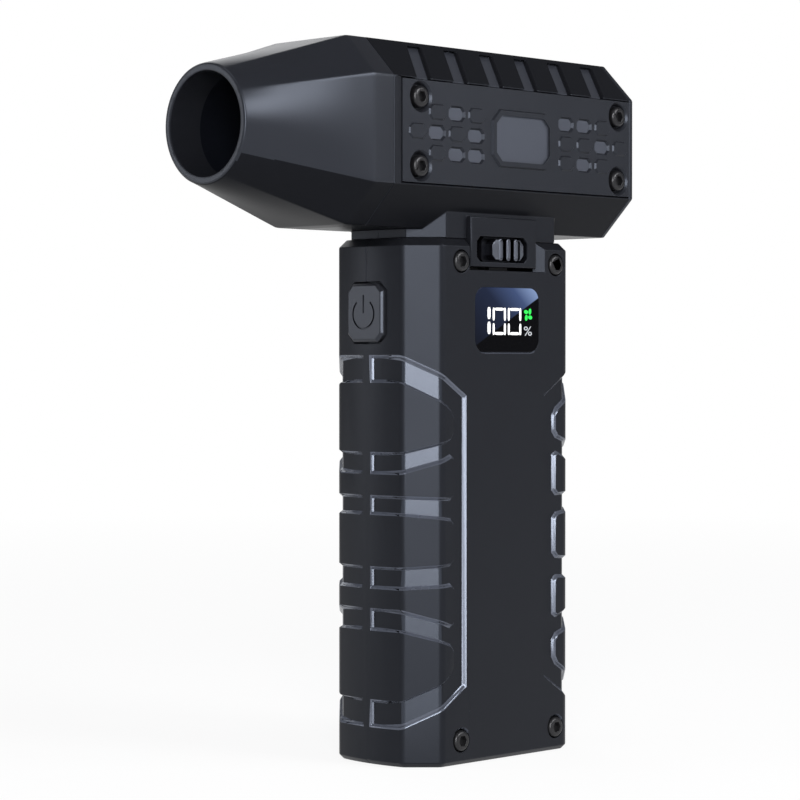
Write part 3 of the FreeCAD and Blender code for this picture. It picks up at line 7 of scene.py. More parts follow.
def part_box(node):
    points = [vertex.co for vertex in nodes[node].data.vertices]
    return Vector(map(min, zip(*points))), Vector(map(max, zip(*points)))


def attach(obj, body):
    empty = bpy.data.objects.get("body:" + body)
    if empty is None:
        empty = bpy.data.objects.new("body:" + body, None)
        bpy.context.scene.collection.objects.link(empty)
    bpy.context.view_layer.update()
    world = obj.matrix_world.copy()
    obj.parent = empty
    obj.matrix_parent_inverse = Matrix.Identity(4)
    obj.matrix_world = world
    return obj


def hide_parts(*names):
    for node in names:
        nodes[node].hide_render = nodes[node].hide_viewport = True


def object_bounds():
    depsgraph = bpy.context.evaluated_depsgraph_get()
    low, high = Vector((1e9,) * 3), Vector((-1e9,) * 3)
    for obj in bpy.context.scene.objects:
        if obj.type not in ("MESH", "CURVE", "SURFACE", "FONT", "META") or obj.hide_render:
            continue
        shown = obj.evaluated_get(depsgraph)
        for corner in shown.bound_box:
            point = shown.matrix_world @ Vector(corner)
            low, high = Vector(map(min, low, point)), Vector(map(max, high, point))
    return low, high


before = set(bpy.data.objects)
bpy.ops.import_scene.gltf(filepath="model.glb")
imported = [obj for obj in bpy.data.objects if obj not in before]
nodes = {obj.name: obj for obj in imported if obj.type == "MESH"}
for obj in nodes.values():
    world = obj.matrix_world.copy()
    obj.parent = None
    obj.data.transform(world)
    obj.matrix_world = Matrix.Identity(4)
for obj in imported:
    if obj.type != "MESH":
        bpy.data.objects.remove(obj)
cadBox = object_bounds()

# Camera at the photograph's place

cameraLook = {
    "place": (-0.5072, -0.4796, 0.1036),
    "view": (0.71238, 0.70165, -0.01431),
    "lens": 117.9,
}
bpy.ops.object.camera_add(location=cameraLook["place"])
camera = bpy.context.object
camera.name = "camera"
camera.rotation_euler = Vector(cameraLook["view"]).to_track_quat("-Z", "Y").to_euler()
camera.data.lens = cameraLook["lens"]
camera.data.sensor_width = 36
camera.data.clip_start = 0.01
bpy.context.scene.camera = camera
print("camera ready")


# Helpers for materials

def newGroup(name, inputs, outputs):
    group = bpy.data.node_groups.new(name, "ShaderNodeTree")
    for label, kind, value in inputs:
        socket = group.interface.new_socket(name=label, in_out="INPUT", socket_type=kind)
        socket.default_value = value
    for label, kind in outputs:
        group.interface.new_socket(name=label, in_out="OUTPUT", socket_type=kind)
    start = group.nodes.new("NodeGroupInput")
    end = group.nodes.new("NodeGroupOutput")
    return group, start, end


def newNode(tree, kind, **settings):
    node = tree.nodes.new(kind)
    for key, value in settings.items():
        setattr(node, key, value)
    return node


# Fine moulded grain: a faint cloud in the colour and gloss, and a tiny surface texture

grainLook = {
    "cloudSize": 60,
    "cloudDetail": 4,
    "fineDetail": 2,
    "noiseMiddle": 0.5,
    "glossShare": 0.5,
}
grainGroup, grainIn, grainOut = newGroup("mouldedGrain", [
    ("Color", "NodeSocketColor", (0.02, 0.02, 0.02, 1)),
    ("Roughness", "NodeSocketFloat", 0.4),
    ("Cloud", "NodeSocketFloat", 0.1),
    ("Grain Size", "NodeSocketFloat", 3000),
    ("Grain Height", "NodeSocketFloat", 0.00002),
], [("Color", "NodeSocketColor"), ("Roughness", "NodeSocketFloat"), ("Normal", "NodeSocketVector")])
place = newNode(grainGroup, "ShaderNodeTexCoord")
cloud = newNode(grainGroup, "ShaderNodeTexNoise")
cloud.inputs["Scale"].default_value = grainLook["cloudSize"]
cloud.inputs["Detail"].default_value = grainLook["cloudDetail"]
fine = newNode(grainGroup, "ShaderNodeTexNoise")
fine.inputs["Detail"].default_value = grainLook["fineDetail"]
shift = newNode(grainGroup, "ShaderNodeMath", operation="SUBTRACT")
shift.inputs[1].default_value = grainLook["noiseMiddle"]
spread = newNode(grainGroup, "ShaderNodeMath", operation="MULTIPLY")
lighten = newNode(grainGroup, "ShaderNodeMath", operation="ADD")
lighten.inputs[1].default_value = 1
tint = newNode(grainGroup, "ShaderNodeVectorMath", operation="SCALE")
gloss = newNode(grainGroup, "ShaderNodeMath", operation="MULTIPLY_ADD")
bump = newNode(grainGroup, "ShaderNodeBump")
bump.inputs["Strength"].default_value = 1
link = grainGroup.links.new
link(place.outputs["Object"], cloud.inputs["Vector"])
link(place.outputs["Object"], fine.inputs["Vector"])
link(grainIn.outputs["Grain Size"], fine.inputs["Scale"])
link(cloud.outputs["Fac"], shift.inputs[0])
link(shift.outputs[0], spread.inputs[0])
link(grainIn.outputs["Cloud"], spread.inputs[1])
link(spread.outputs[0], lighten.inputs[0])
link(grainIn.outputs["Color"], tint.inputs[0])
link(lighten.outputs[0], tint.inputs["Scale"])
link(spread.outputs[0], gloss.inputs[0])
gloss.inputs[1].default_value = grainLook["glossShare"]
link(grainIn.outputs["Roughness"], gloss.inputs[2])
link(fine.outputs["Fac"], bump.inputs["Height"])
link(grainIn.outputs["Grain Height"], bump.inputs["Distance"])
link(tint.outputs[0], grainOut.inputs["Color"])
link(gloss.outputs[0], grainOut.inputs["Roughness"])
link(bump.outputs["Normal"], grainOut.inputs["Normal"])


def newMaterial(name):
    material = bpy.data.materials.new(name)
    material.use_nodes = True
    return material, material.node_tree, material.node_tree.nodes["Principled BSDF"]


def moulded(name, color, roughness, specular, cloud, grainSize, grainHeight, metallic=0, coat=0):
    material, tree, shader = newMaterial(name)
    grain = newNode(tree, "ShaderNodeGroup", node_tree=grainGroup)
    grain.inputs["Color"].default_value = (*color, 1)
    grain.inputs["Roughness"].default_value = roughness
    grain.inputs["Cloud"].default_value = cloud
    grain.inputs["Grain Size"].default_value = grainSize
    grain.inputs["Grain Height"].default_value = grainHeight
    tree.links.new(grain.outputs["Color"], shader.inputs["Base Color"])
    tree.links.new(grain.outputs["Roughness"], shader.inputs["Roughness"])
    tree.links.new(grain.outputs["Normal"], shader.inputs["Normal"])
    shader.inputs["Specular IOR Level"].default_value = specular
    shader.inputs["Metallic"].default_value = metallic
    shader.inputs["Coat Weight"].default_value = coat
    return material


# Finishes: colour, roughness, gloss level, cloud, grain size and height, then any metal and coat

finishLook = {
    # channel floors on the cut corners: glossier, and lighter in colour as a painted sheen
    "channelGlossPaintedSheen": ((0.013, 0.015, 0.02), 0.25, 0.46, 0.1, 2600, 0.000008),
    # channel walls: glossier, and lighter in colour as a painted highlight
    "wallPaintedHighlight": ((0.05, 0.055, 0.07), 0.27, 1.0, 0.05, 2600, 0.000004),
    "caseBlack": ((0.0068, 0.0072, 0.009), 0.37, 0.18, 0.12, 2600, 0.000012),
    "plateBlack": ((0.009, 0.0096, 0.012), 0.36, 0.3, 0.12, 2600, 0.000012),
    "noseBlack": ((0.0085, 0.009, 0.0113), 0.34, 0.37, 0.1, 2600, 0.00001),
    # slanted and downward facets: darker and with less shine, as painted shade
    "facetPaintedShade": ((0.0055, 0.0058, 0.0072), 0.4, 0.05, 0.12, 2600, 0.000012),
    # floors of the sunk cells and the badge field: glossier, and lighter in colour as a painted sheen
    "sunkFloorPaintedSheen": ((0.034, 0.037, 0.047), 0.3, 0.62, 0.1, 2600, 0.000008),
    # vent floors: lighter in colour as a painted sheen
    "ventFloorPaintedSheen": ((0.02, 0.0215, 0.027), 0.36, 0.5, 0.1, 2600, 0.000008),
    # dark sign lines, also used as painted shade in the lock's slot and on the knob's carriage
    "signAndPaintedShade": ((0.003, 0.003, 0.004), 0.3, 0.25, 0.1, 2600, 0.000004),
    "buttonBlack": ((0.011, 0.0115, 0.014), 0.34, 0.4, 0.1, 2600, 0.00001),
    "knobBlack": ((0.035, 0.037, 0.045), 0.3, 0.9, 0.1, 2600, 0.00001),
    # ducts inside the outlet: black, darker and duller than the case as painted shade inside the bore
    "ductBlackPaintedShade": ((0.0035, 0.004, 0.006), 0.38, 0.12, 0.12, 2200, 0.00002),
    "impellerGrey": ((0.05, 0.05, 0.055), 0.4, 0.45, 0.12, 2200, 0.00002),
    "screwBlack": ((0.018, 0.018, 0.02), 0.32, 0.6, 0.3, 1800, 0.00001, 0.6),
    "brightSteel": ((0.55, 0.55, 0.57), 0.28, 0.5, 0.1, 1500, 0.000004, 1),
    "motorSteel": ((0.3, 0.3, 0.32), 0.4, 0.5, 0.2, 2500, 0.00001, 1),
    "magnetSteel": ((0.28, 0.28, 0.3), 0.3, 0.5, 0.1, 1500, 0.000005, 1),
    "copperWire": ((0.6, 0.26, 0.1), 0.3, 0.5, 0.15, 1800, 0.00003, 0.9),
    "alloy": ((0.6, 0.6, 0.62), 0.35, 0.5, 0.08, 2000, 0.000006, 1),
    "cellWrap": ((0.03, 0.12, 0.3), 0.28, 0.5, 0.08, 900, 0.00001, 0, 0.3),
    "nickel": ((0.6, 0.58, 0.55), 0.3, 0.5, 0.1, 1500, 0.000004, 1),
    "foamBlack": ((0.03, 0.03, 0.03), 0.95, 0.2, 0.3, 1600, 0.0001),
    "softRubber": ((0.02, 0.02, 0.02), 0.75, 0.3, 0.15, 2000, 0.00003),
    "boardGreen": ((0.012, 0.09, 0.04), 0.4, 0.5, 0.2, 700, 0.00002),
    "chipBlack": ((0.015, 0.015, 0.016), 0.55, 0.4, 0.1, 3000, 0.00002),
    "socketCream": ((0.6, 0.57, 0.48), 0.45, 0.45, 0.06, 2000, 0.00001),
    "leadRed": ((0.25, 0.012, 0.01), 0.45, 0.4, 0.1, 1500, 0.00001),
    "holderGrey": ((0.32, 0.32, 0.3), 0.5, 0.45, 0.08, 1800, 0.00002),
    "panelBlack": ((0.004, 0.004, 0.005), 0.12, 0.5, 0.05, 1000, 0.000001),
}
finishes = {name: moulded(name, *look) for name, look in finishLook.items()}
coolGleam = (0.74, 0.82, 1, 1)  # black plastic with a faint blue shine
coolFinishes = (
    "channelGlossPaintedSheen", "wallPaintedHighlight", "caseBlack", "plateBlack", "noseBlack",
    "facetPaintedShade", "sunkFloorPaintedSheen", "ventFloorPaintedSheen", "signAndPaintedShade", "buttonBlack", "knobBlack", "ductBlackPaintedShade",
)
for name in coolFinishes:
    shader = finishes[name].node_tree.nodes["Principled BSDF"]
    shader.inputs["Specular Tint"].default_value = coolGleam

nodeFinishes = {
    "caseBlack": ["handle_shell_left", "handle_shell_right", "head_shell_left", "head_shell_right"],
    "plateBlack": ["side_plate_left", "side_plate_right", "rear_cover"],
    "noseBlack": ["nose_cone"],
    "buttonBlack": ["power_button"],
    "knobBlack": ["lock_knob"],
    "ductBlackPaintedShade": ["outlet_liner", "fan_duct", "tail_cone"],
    "impellerGrey": ["impeller"],
    "screwBlack": ["lock_hook", "handle_screws", "plate_screws_left", "plate_screws_right",
                   "rear_cover_screws"],
    "brightSteel": ["board_screws", "charging_port", "bearing_front", "bearing_rear", "motor_shaft",
                    "intake_mesh"],
    "motorSteel": ["stator_core"],
    "magnetSteel": ["rotor_magnet"],
    "copperWire": ["stator_windings"],
    "alloy": ["board_capacitor", "motor_end_cap", "impeller_nut"],
    "cellWrap": ["battery_cell_front", "battery_cell_middle", "battery_cell_rear"],
    "nickel": ["link_strips_lower", "link_strips_upper"],
    "foamBlack": ["battery_foam_lower", "battery_foam_upper"],
    "softRubber": ["damper_ring_front", "damper_ring_rear", "lead_grommet"],
    "boardGreen": ["main_board", "display_board"],
    "chipBlack": ["power_transistors", "control_chip", "power_switch", "motor_socket", "motor_plug"],
    "socketCream": ["switch_plunger"],
    "leadRed": ["battery_leads", "motor_leads"],
    "holderGrey": ["cell_holder_lower", "cell_holder_upper"],
    "panelBlack": ["display_panel", "display_lens"],
}
for finish, names in nodeFinishes.items():
    for name in names:
        for slot in nodes[name].material_slots:
            slot.material = finishes[finish]
print("node finishes ready")


# Helpers for pieces

meshLook = {
    "mergeWithin": 0.000003,
    "flatWithin": 0.6,
    "largeFaceWeight": 60,
}


def dropSelection():
    if bpy.context.object and bpy.context.object.mode != "OBJECT":
        bpy.ops.object.mode_set(mode="OBJECT")
    bpy.ops.object.select_all(action="DESELECT")


def takeOnly(piece):
    dropSelection()
    piece.select_set(True)
    bpy.context.view_layer.objects.active = piece


def settle(piece):
    takeOnly(piece)
    bpy.ops.object.transform_apply(location=True, rotation=True, scale=True)


def applyModifiers(piece):
    takeOnly(piece)
    for modifier in list(piece.modifiers):
        bpy.ops.object.modifier_apply(modifier=modifier.name)


def dress(piece, material):
    piece.data.materials.clear()
    piece.data.materials.append(material)


def smooth(piece, angle):
    takeOnly(piece)
    bpy.ops.object.shade_smooth_by_angle(angle=math.radians(angle))


def dressFaces(piece, finishNames, choose):
    # several finishes on one piece, each face given the number of its own
    piece.data.materials.clear()
    for finishName in finishNames:
        piece.data.materials.append(finishes[finishName])
    for face in piece.data.polygons:
        face.material_index = choose(face)


def copyOfNode(nodeName, pieceName, flat=meshLook["flatWithin"], kept=lambda centre: False):
    # a merged copy of a node's mesh, with its flat areas made whole, apart from the faces kept
    takeOnly(nodes[nodeName])
    bpy.ops.object.duplicate()
    piece = bpy.context.object
    piece.name = pieceName
    piece.parent = None
    for key in list(piece.keys()):
        del piece[key]
    bpy.ops.object.mode_set(mode="EDIT")
    bpy.ops.mesh.select_all(action="SELECT")
    bpy.ops.mesh.remove_doubles(threshold=meshLook["mergeWithin"])
    if flat:
        bpy.ops.mesh.select_mode(type="FACE")
        bpy.ops.object.mode_set(mode="OBJECT")
        for face in piece.data.polygons:
            face.select = not kept(face.center)
        bpy.ops.object.mode_set(mode="EDIT")
        bpy.ops.mesh.dissolve_limited(angle_limit=math.radians(flat))
        bpy.ops.mesh.select_mode(type="VERT")
    bpy.ops.object.mode_set(mode="OBJECT")
    return piece


def softenEdges(piece, width, segments, sharpest, weightOf, slot=-1):
    # rounds the sharp edges, each by its own share of the width
    shape = bmesh.new()
    shape.from_mesh(piece.data)
    layers = shape.edges.layers.float
    weights = layers.get("bevel_weight_edge") or layers.new("bevel_weight_edge")
    for edge in shape.edges:
        turn = edge.calc_face_angle(0) if len(edge.link_faces) == 2 else 0
        middle = (edge.verts[0].co + edge.verts[1].co) / 2
        edge[weights] = float(weightOf(middle)) if turn > math.radians(sharpest) else 0
    shape.to_mesh(piece.data)
    shape.free()
    bevel = piece.modifiers.new("softened", "BEVEL")
    bevel.limit_method = "WEIGHT"
    bevel.width = width
    bevel.segments = segments
    bevel.use_clamp_overlap = False
    bevel.miter_outer = "MITER_SHARP"
    bevel.material = slot
    applyModifiers(piece)


def evenShading(piece, angle):
    # smooth inside the angle, with large faces kept flat
    smooth(piece, angle)
    weighted = piece.modifiers.new("weighted", "WEIGHTED_NORMAL")
    weighted.keep_sharp = True
    weighted.weight = meshLook["largeFaceWeight"]
    applyModifiers(piece)


def hang(piece, body, slotName, *replaced):
    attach(piece, body)
    if replaced:
        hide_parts(*replaced)


# Grip shells: the node's shape with its channel walls sloped, and channels and walls in glossier
# finishes; the walls lighter in colour as a painted highlight, the channel floors on the cut corners
# lighter as a painted sheen

gripLook = {
    "finishes": ["caseBlack", "channelGlossPaintedSheen", "wallPaintedHighlight"],
    "wallSlope": 0.00043,
    "reliefLow": 0.008,
    "reliefHigh": 0.107,
    "halfLength": 0.03145,
    "halfWidth": 0.0189,
    "cut": 0.0076,
    "channelDepth": 0.0013,
    "floorDepth": 0.0005,
    "seamHalf": 0.0013,
    "cornerFacing": 0.3,
    "outerEdge": 0.00022,
    "outerDepth": 0.0022,
    "rearWithin": 0.00005,
    "sharp": 28,
    "even": 32,
}


def depthInGrip(point):
    # how far a point lies under the outer faces of the grip
    ends = gripLook["halfLength"] - abs(point.x)
    sides = gripLook["halfWidth"] - abs(point.y)
    corners = (ends + sides - gripLook["cut"]) * math.sqrt(0.5)
    return min(ends, sides, corners)


def inRelief(point):
    return gripLook["reliefLow"] < point.z < gripLook["reliefHigh"]


def channelEdge(middle):
    offSeam = abs(middle.y) > gripLook["seamHalf"]
    return inRelief(middle) and offSeam and depthInGrip(middle) < gripLook["channelDepth"]


def outerEdge(middle):
    return not inRelief(middle) and depthInGrip(middle) < gripLook["outerDepth"]


def channelFloor(face):
    # 1 on the channels' floors where the grip's corners are cut, glossier and lighter in colour as a
    # painted sheen
    centre = face.center
    corner = min(abs(face.normal.x), abs(face.normal.y)) > gripLook["cornerFacing"]
    deep = gripLook["floorDepth"] < depthInGrip(centre) < gripLook["channelDepth"]
    return 1 if inRelief(centre) and corner and deep else 0


def roundPort(centre):
    # the rear face above the grip, which the charging port opens
    return centre.x > gripLook["halfLength"] - gripLook["rearWithin"]


for side in ("left", "right"):
    shell = copyOfNode(f"handle_shell_{side}", f"gripShell.{side}", kept=roundPort)
    dressFaces(shell, gripLook["finishes"], channelFloor)
    softenEdges(shell, gripLook["wallSlope"], 1, gripLook["sharp"], channelEdge, 2)
    softenEdges(shell, gripLook["outerEdge"], 2, gripLook["sharp"], outerEdge)
    evenShading(shell, gripLook["even"])
    hang(shell, "handle", "case_plastic", f"handle_shell_{side}")
print("grip shells ready")

# Sizes of the barrel, from the frame where it gives them

barrelAxis = 0.16146
barrelLook = {
    "axis": barrelAxis,
    "halfWide": 0.023,
    "halfHigh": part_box("head_shell_left")[1][2] - barrelAxis,
    "cut": 0.0101,
    "edge": 0.00034,
    "gripSide": 0.0189,
    "neck": (0.0283, 0.0173, 0.0074),
    "seatHeight": 0.1355,
}


def eightSided(aside, up, wide, high, cut):
    # how far a point lies inside an eight-sided outline
    corner = (wide + high - cut - aside - up) * math.sqrt(0.5)
    return min(wide - aside, high - up, corner)


def depthInBarrel(point):
    return eightSided(abs(point.y), abs(point.z - barrelLook["axis"]),
                      barrelLook["halfWide"], barrelLook["halfHigh"], barrelLook["cut"])


# Nose: eight-sided rings that run into the round outlet and turn back inside to the joint

noseLook = {
    "seam": -0.0456,
    "kink": -0.0524,
    "tip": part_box("nose_cone")[0][0],
    "softKink": 0.0005,
    "outer": (0.023, 0.02356, 0.0101),
    "inner": (0.0208, 0.02136, 0.00881),
    "joint": (0.0195, 0.02106, 0.00781),
    "jointInner": (0.0181, 0.01966, 0.00699),
    "rim": 0.01475,
    "rimEdge": 0.0005,
    "rimTurn": 0.3,
    "bore": 0.0128,
    "linerSeat": 0.01395,
    "seatDepth": 0.0098,
    "landDepth": 0.0118,
    "landRadius": 0.0153,
    "spigotEnd": -0.041,
    "spigotStart": -0.047,
    "sharpness": 230,
    "cornerTurns": (-3.2, -1.7, -0.8, 0, 0.8, 1.7, 3.2),
    "cornerClear": 1.5,
    "turnStep": 4.5,
    "seamEdge": ((0, 0.0003), (0.0001, 0.0001)),
    "kinkRings": (0.002, 0.0008, 0.0004, 0, -0.0004, -0.0008),
    "taperRings": 8,
    "lowFacing": -0.5,
    "even": 34,
}


def reachOf(turn, wide, high, cut):
    # the radius of an eight-sided outline with slightly rounded corners, in one direction
    aside = abs(math.cos(turn))
    up = abs(math.sin(turn))
    power = noseLook["sharpness"]
    corner = (wide + high - cut) * math.sqrt(0.5)
    shares = [aside / wide, up / high, (aside + up) * math.sqrt(0.5) / corner]
    most = max(shares)
    return sum((share / most) ** power for share in shares) ** (-1 / power) / most


def ringTurns():
    # directions of a ring's points, crowded at the eight corners
    wide, high, cut = noseLook["outer"]
    first = [math.degrees(math.atan2(high - cut, wide)), math.degrees(math.atan2(high, wide - cut))]
    corners = [side * 180 + sign * turn for side in (0, 1) for sign in (1, -1) for turn in first]
    turns = [(corner + offset) % 360 for corner in corners for offset in noseLook["cornerTurns"]]
    steps = [noseLook["turnStep"] * i for i in range(int(360 / noseLook["turnStep"]))]
    margin = noseLook["cornerTurns"][-1] * noseLook["cornerClear"]
    for step in steps:
        if all(abs((step - corner + 180) % 360 - 180) > margin for corner in corners):
            turns.append(step)
    return [math.radians(turn) for turn in sorted(turns)]


def taperShare(x):
    # how far the nose has turned from eight-sided to round, with a soft start
    run = noseLook["kink"] - x
    soft = (run + math.sqrt(run * run + noseLook["softKink"] ** 2)) / 2
    return soft / (noseLook["kink"] - noseLook["tip"])


def setRing(piece, points, x, outline, share, radius, inset):
    for vertex in points:
        turn = math.atan2(vertex.co.z - barrelLook["axis"], vertex.co.y)
        reach = reachOf(turn, *outline) * (1 - share) + radius * share - inset
        vertex.co = (x, reach * math.cos(turn), barrelLook["axis"] + reach * math.sin(turn))


def noseRings():
    # place along the barrel, outline, share of roundness, radius and inset of each ring
    seam, kink, tip = noseLook["seam"], noseLook["kink"], noseLook["tip"]
    rim, bore, edge = noseLook["rim"], noseLook["bore"], noseLook["rimEdge"]
    turned = edge * noseLook["rimTurn"]
    outer, inner = noseLook["outer"], noseLook["inner"]
    rings = [(seam - back, outer, 0, rim, inset) for back, inset in noseLook["seamEdge"]]
    places = [seam - noseLook["seamEdge"][0][1]] + [kink + away for away in noseLook["kinkRings"]]
    first, steps = places[-1], noseLook["taperRings"]
    places += [first + (tip + edge - first) * step / steps for step in range(1, steps + 1)]
    rings += [(x, outer, taperShare(x), rim, 0) for x in places]
    rings += [(tip + turned, outer, 1, rim - turned, 0), (tip, outer, 1, rim - edge, 0)]
    rings += [(tip, outer, 1, bore + edge, 0), (tip + turned, outer, 1, bore + turned, 0)]
    rings += [(tip + edge, outer, 1, bore, 0), (tip + noseLook["seatDepth"], outer, 1, bore, 0)]
    rings += [(tip + noseLook["seatDepth"], outer, 1, noseLook["linerSeat"], 0)]
    rings += [(tip + noseLook["landDepth"], outer, 1, noseLook["linerSeat"], 0)]
    rings += [(tip + noseLook["landDepth"], inner, 1, noseLook["landRadius"], 0)]
    rings += [(kink, inner, 0, rim, 0), (noseLook["spigotStart"], inner, 0, rim, 0)]
    rings += [(noseLook["spigotStart"], noseLook["jointInner"], 0, rim, 0)]
    rings += [(noseLook["spigotEnd"], noseLook["jointInner"], 0, rim, 0)]
    rings += [(noseLook["spigotEnd"], noseLook["joint"], 0, rim, 0), (seam, noseLook["joint"], 0, rim, 0)]
    return rings


turns = ringTurns()
dropSelection()
bpy.ops.mesh.primitive_circle_add(vertices=len(turns), radius=noseLook["rim"], fill_type="NOTHING")
nose = bpy.context.object
nose.name = "noseCone"
settle(nose)
for vertex, turn in zip(nose.data.vertices, turns):
    vertex.co = (0, math.cos(turn), barrelLook["axis"] + math.sin(turn))
for number, ring in enumerate(noseRings()):
    if number:
        bpy.ops.object.mode_set(mode="EDIT")
        bpy.ops.mesh.extrude_region_move()
        bpy.ops.object.mode_set(mode="OBJECT")
    setRing(nose, [vertex for vertex in nose.data.vertices if vertex.select], *ring)
for vertex in nose.data.vertices:
    if vertex.index < len(turns):
        vertex.select = True
for edge in nose.data.edges:
    edge.select = all(nose.data.vertices[i].select for i in edge.vertices)
bpy.ops.object.mode_set(mode="EDIT")
bpy.ops.mesh.select_mode(type="EDGE")
bpy.ops.mesh.bridge_edge_loops()
bpy.ops.mesh.select_mode(type="VERT")
bpy.ops.mesh.select_all(action="SELECT")
bpy.ops.mesh.normals_make_consistent(inside=False)
bpy.ops.object.mode_set(mode="OBJECT")
# the nose's downward facets below the axis get the darker finish, painted shade
dressFaces(
    nose, ("noseBlack", "facetPaintedShade"),
    lambda face: 1 if face.normal.z < noseLook["lowFacing"] and face.center.z < barrelLook["axis"] else 0
)
evenShading(nose, noseLook["even"])
hang(nose, "handle", "case_plastic", "nose_cone")
print("nose ready")


# Head shells: barrel, neck and tongue with their edges softened

headLook = {
    "finishes": ["caseBlack", "ventFloorPaintedSheen", "signAndPaintedShade", "facetPaintedShade"],
    "near": 0.0001,
    "seamDepth": 0.0005,
    "underBarrel": 0.0135,
    "ventEdgeDepth": 0.0013,
    "shares": {"seam": 0.4, "tongue": 1, "barrel": 0.9, "neck": 0.8},
    "plateRim": 0.02295,
    "slotMargin": 0.001,
    "slotTravel": 0.0064,
    "slotDepth": (-0.0186, -0.008),
    "ventFacing": 0.6,
    "ventDepth": (0.0008, 0.0012),
    "facetFacing": (0.5, 0.9),
    "facetDepth": 0.0006,
    "sharp": 25,
    "even": 32,
}
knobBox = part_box("lock_knob")


def neckDepth(point):
    return eightSided(abs(point.x), abs(point.y), *barrelLook["neck"])


def onPlateRing(centre):
    # the flat rim round each side plate
    return abs(centre.y) > headLook["plateRim"]


def inLockSlot(centre):
    # behind the tongue's face, where the knob slides
    low, high = knobBox
    margin = headLook["slotMargin"]
    front, back = headLook["slotDepth"]
    return (low[0] - headLook["slotTravel"] < centre.x < high[0] + margin
            and low[2] - margin < centre.z < high[2] + margin and front < centre.y < back)


def headEdge(middle):
    # the share of the full softening that an edge gets
    near, shares = headLook["near"], headLook["shares"]
    depth = depthInBarrel(middle)
    below = middle.z < barrelLook["axis"] - headLook["underBarrel"]
    if abs(middle.y) < near:
        return shares["seam"] if depth < headLook["seamDepth"] else 0
    if below and middle.y < near - barrelLook["gripSide"]:
        return shares["tongue"]
    if -near < depth < headLook["ventEdgeDepth"]:
        return shares["barrel"]
    inNeck = below and middle.z > barrelLook["seatHeight"] - near
    return shares["neck"] if inNeck and abs(neckDepth(middle)) < near else 0


def headFinish(face):
    # painted shade in the lock's slot, the vents' floors lighter as a painted sheen, painted shade on the
    # slanted facets, and all the rest
    if inLockSlot(face.center):
        return 2
    depth = depthInBarrel(face.center)
    slanted = abs(face.normal.y) > headLook["ventFacing"] and face.normal.z > headLook["ventFacing"]
    if slanted and headLook["ventDepth"][0] < depth < headLook["ventDepth"][1]:
        return 1
    least, most = headLook["facetFacing"]
    facet = least < abs(face.normal.z) < most and -headLook["near"] < depth < headLook["facetDepth"]
    return 3 if facet else 0


for side in ("left", "right"):
    shell = copyOfNode(f"head_shell_{side}", f"headShell.{side}", kept=onPlateRing)
    dressFaces(shell, headLook["finishes"], headFinish)
    softenEdges(shell, barrelLook["edge"], 2, headLook["sharp"], headEdge)
    evenShading(shell, headLook["even"])
    hang(shell, "handle", "case_plastic", f"head_shell_{side}")
print("head shells ready")

# Side plates: cells and badge field with sloped walls, sunk floors glossier and lighter in colour as a
# painted sheen

plateLook = {
    "finishes": ["plateBlack", "sunkFloorPaintedSheen"],
    "face": 0.023,
    "levels": {"raised": 0.0234, "sunk": 0.0224, "badgeTop": 0.0236},
    "lean": {"raised": 0.00034, "sunk": 0.00044, "badgeTop": 0.00036},
    "cellHalf": (0.0031, 0.002),
    "cellMiddles": [-0.0374 + 0.0072 * column for column in range(4)]
    + [0.0191 + 0.00735 * column for column in range(4)],
    "rowPitch": 0.00515,
    "badgeMiddle": 0.0016,
    "badgeHalf": (0.0118, 0.0075),
    "rim": 0.0012,
    "screws": [(x, z) for x in (-0.0361, 0.0406) for z in (-0.00865, 0.00865)],
    "recess": 0.0038,
    "edge": 0.00022,
    "near": 0.00004,
    "flatFacing": 0.9,
}


def leanOutline(x, z, half, lean):
    # shift of an octagon's corner that moves all its sides by the same lean
    upright = abs(abs(x) - half[0]) < plateLook["near"]
    less = lean * math.tan(math.pi / 8)
    along, across = (lean, less) if upright else (less, lean)
    return math.copysign(along, x), math.copysign(across, z)


def plateFinish(face):
    # glossier floors of the sunk cells and of the badge's field, lighter in colour as a painted sheen
    centre = face.center
    fieldHalf = [length - plateLook["rim"] for length in plateLook["badgeHalf"]]
    inField = (abs(centre.x - plateLook["badgeMiddle"]) < fieldHalf[0]
               and abs(centre.z - barrelLook["axis"]) < fieldHalf[1])
    sunk = abs(abs(centre.y) - plateLook["levels"]["sunk"]) < plateLook["near"]
    field = inField and abs(abs(centre.y) - plateLook["face"]) < plateLook["near"]
    return 1 if abs(face.normal.y) > plateLook["flatFacing"] and (sunk or field) else 0


def plateShift(point, plateBox):
    # how far a corner of the plate moves, for sloped walls
    x, z = point.x, point.z - barrelLook["axis"]
    depth = abs(point.y)
    for name, level in plateLook["levels"].items():
        if abs(depth - level) > plateLook["near"]:
            continue
        lean = plateLook["lean"][name]
        if name == "badgeTop":
            x -= plateLook["badgeMiddle"]
            outer = plateLook["badgeHalf"]
            inner = [length - plateLook["rim"] for length in outer]
            onOuter = any(abs(abs(at) - half) < plateLook["near"] for at, half in zip((x, z), outer))
            shift = leanOutline(x, z, outer if onOuter else inner, lean if onOuter else -lean)
        else:
            x -= min(plateLook["cellMiddles"], key=lambda middle: abs(middle - x))
            z -= plateLook["rowPitch"] * round(z / plateLook["rowPitch"])
            shift = leanOutline(x, z, plateLook["cellHalf"], lean)
        return Vector((-shift[0], 0, -shift[1]))
    if abs(depth - plateLook["face"]) > plateLook["near"]:
        return Vector((0, 0, 0))
    shift = Vector((0, 0, 0))
    low, high = plateBox
    for axis in (0, 2):
        for bound, way in ((low[axis], 1), (high[axis], -1)):
            if abs(point[axis] - bound) < plateLook["near"]:
                shift[axis] = way * plateLook["edge"]
    for screwX, screwZ in plateLook["screws"]:
        away = Vector((x - screwX, 0, z - screwZ))
        if abs(away.length - plateLook["recess"]) < plateLook["near"]:
            shift = away.normalized() * plateLook["edge"]
    return shift


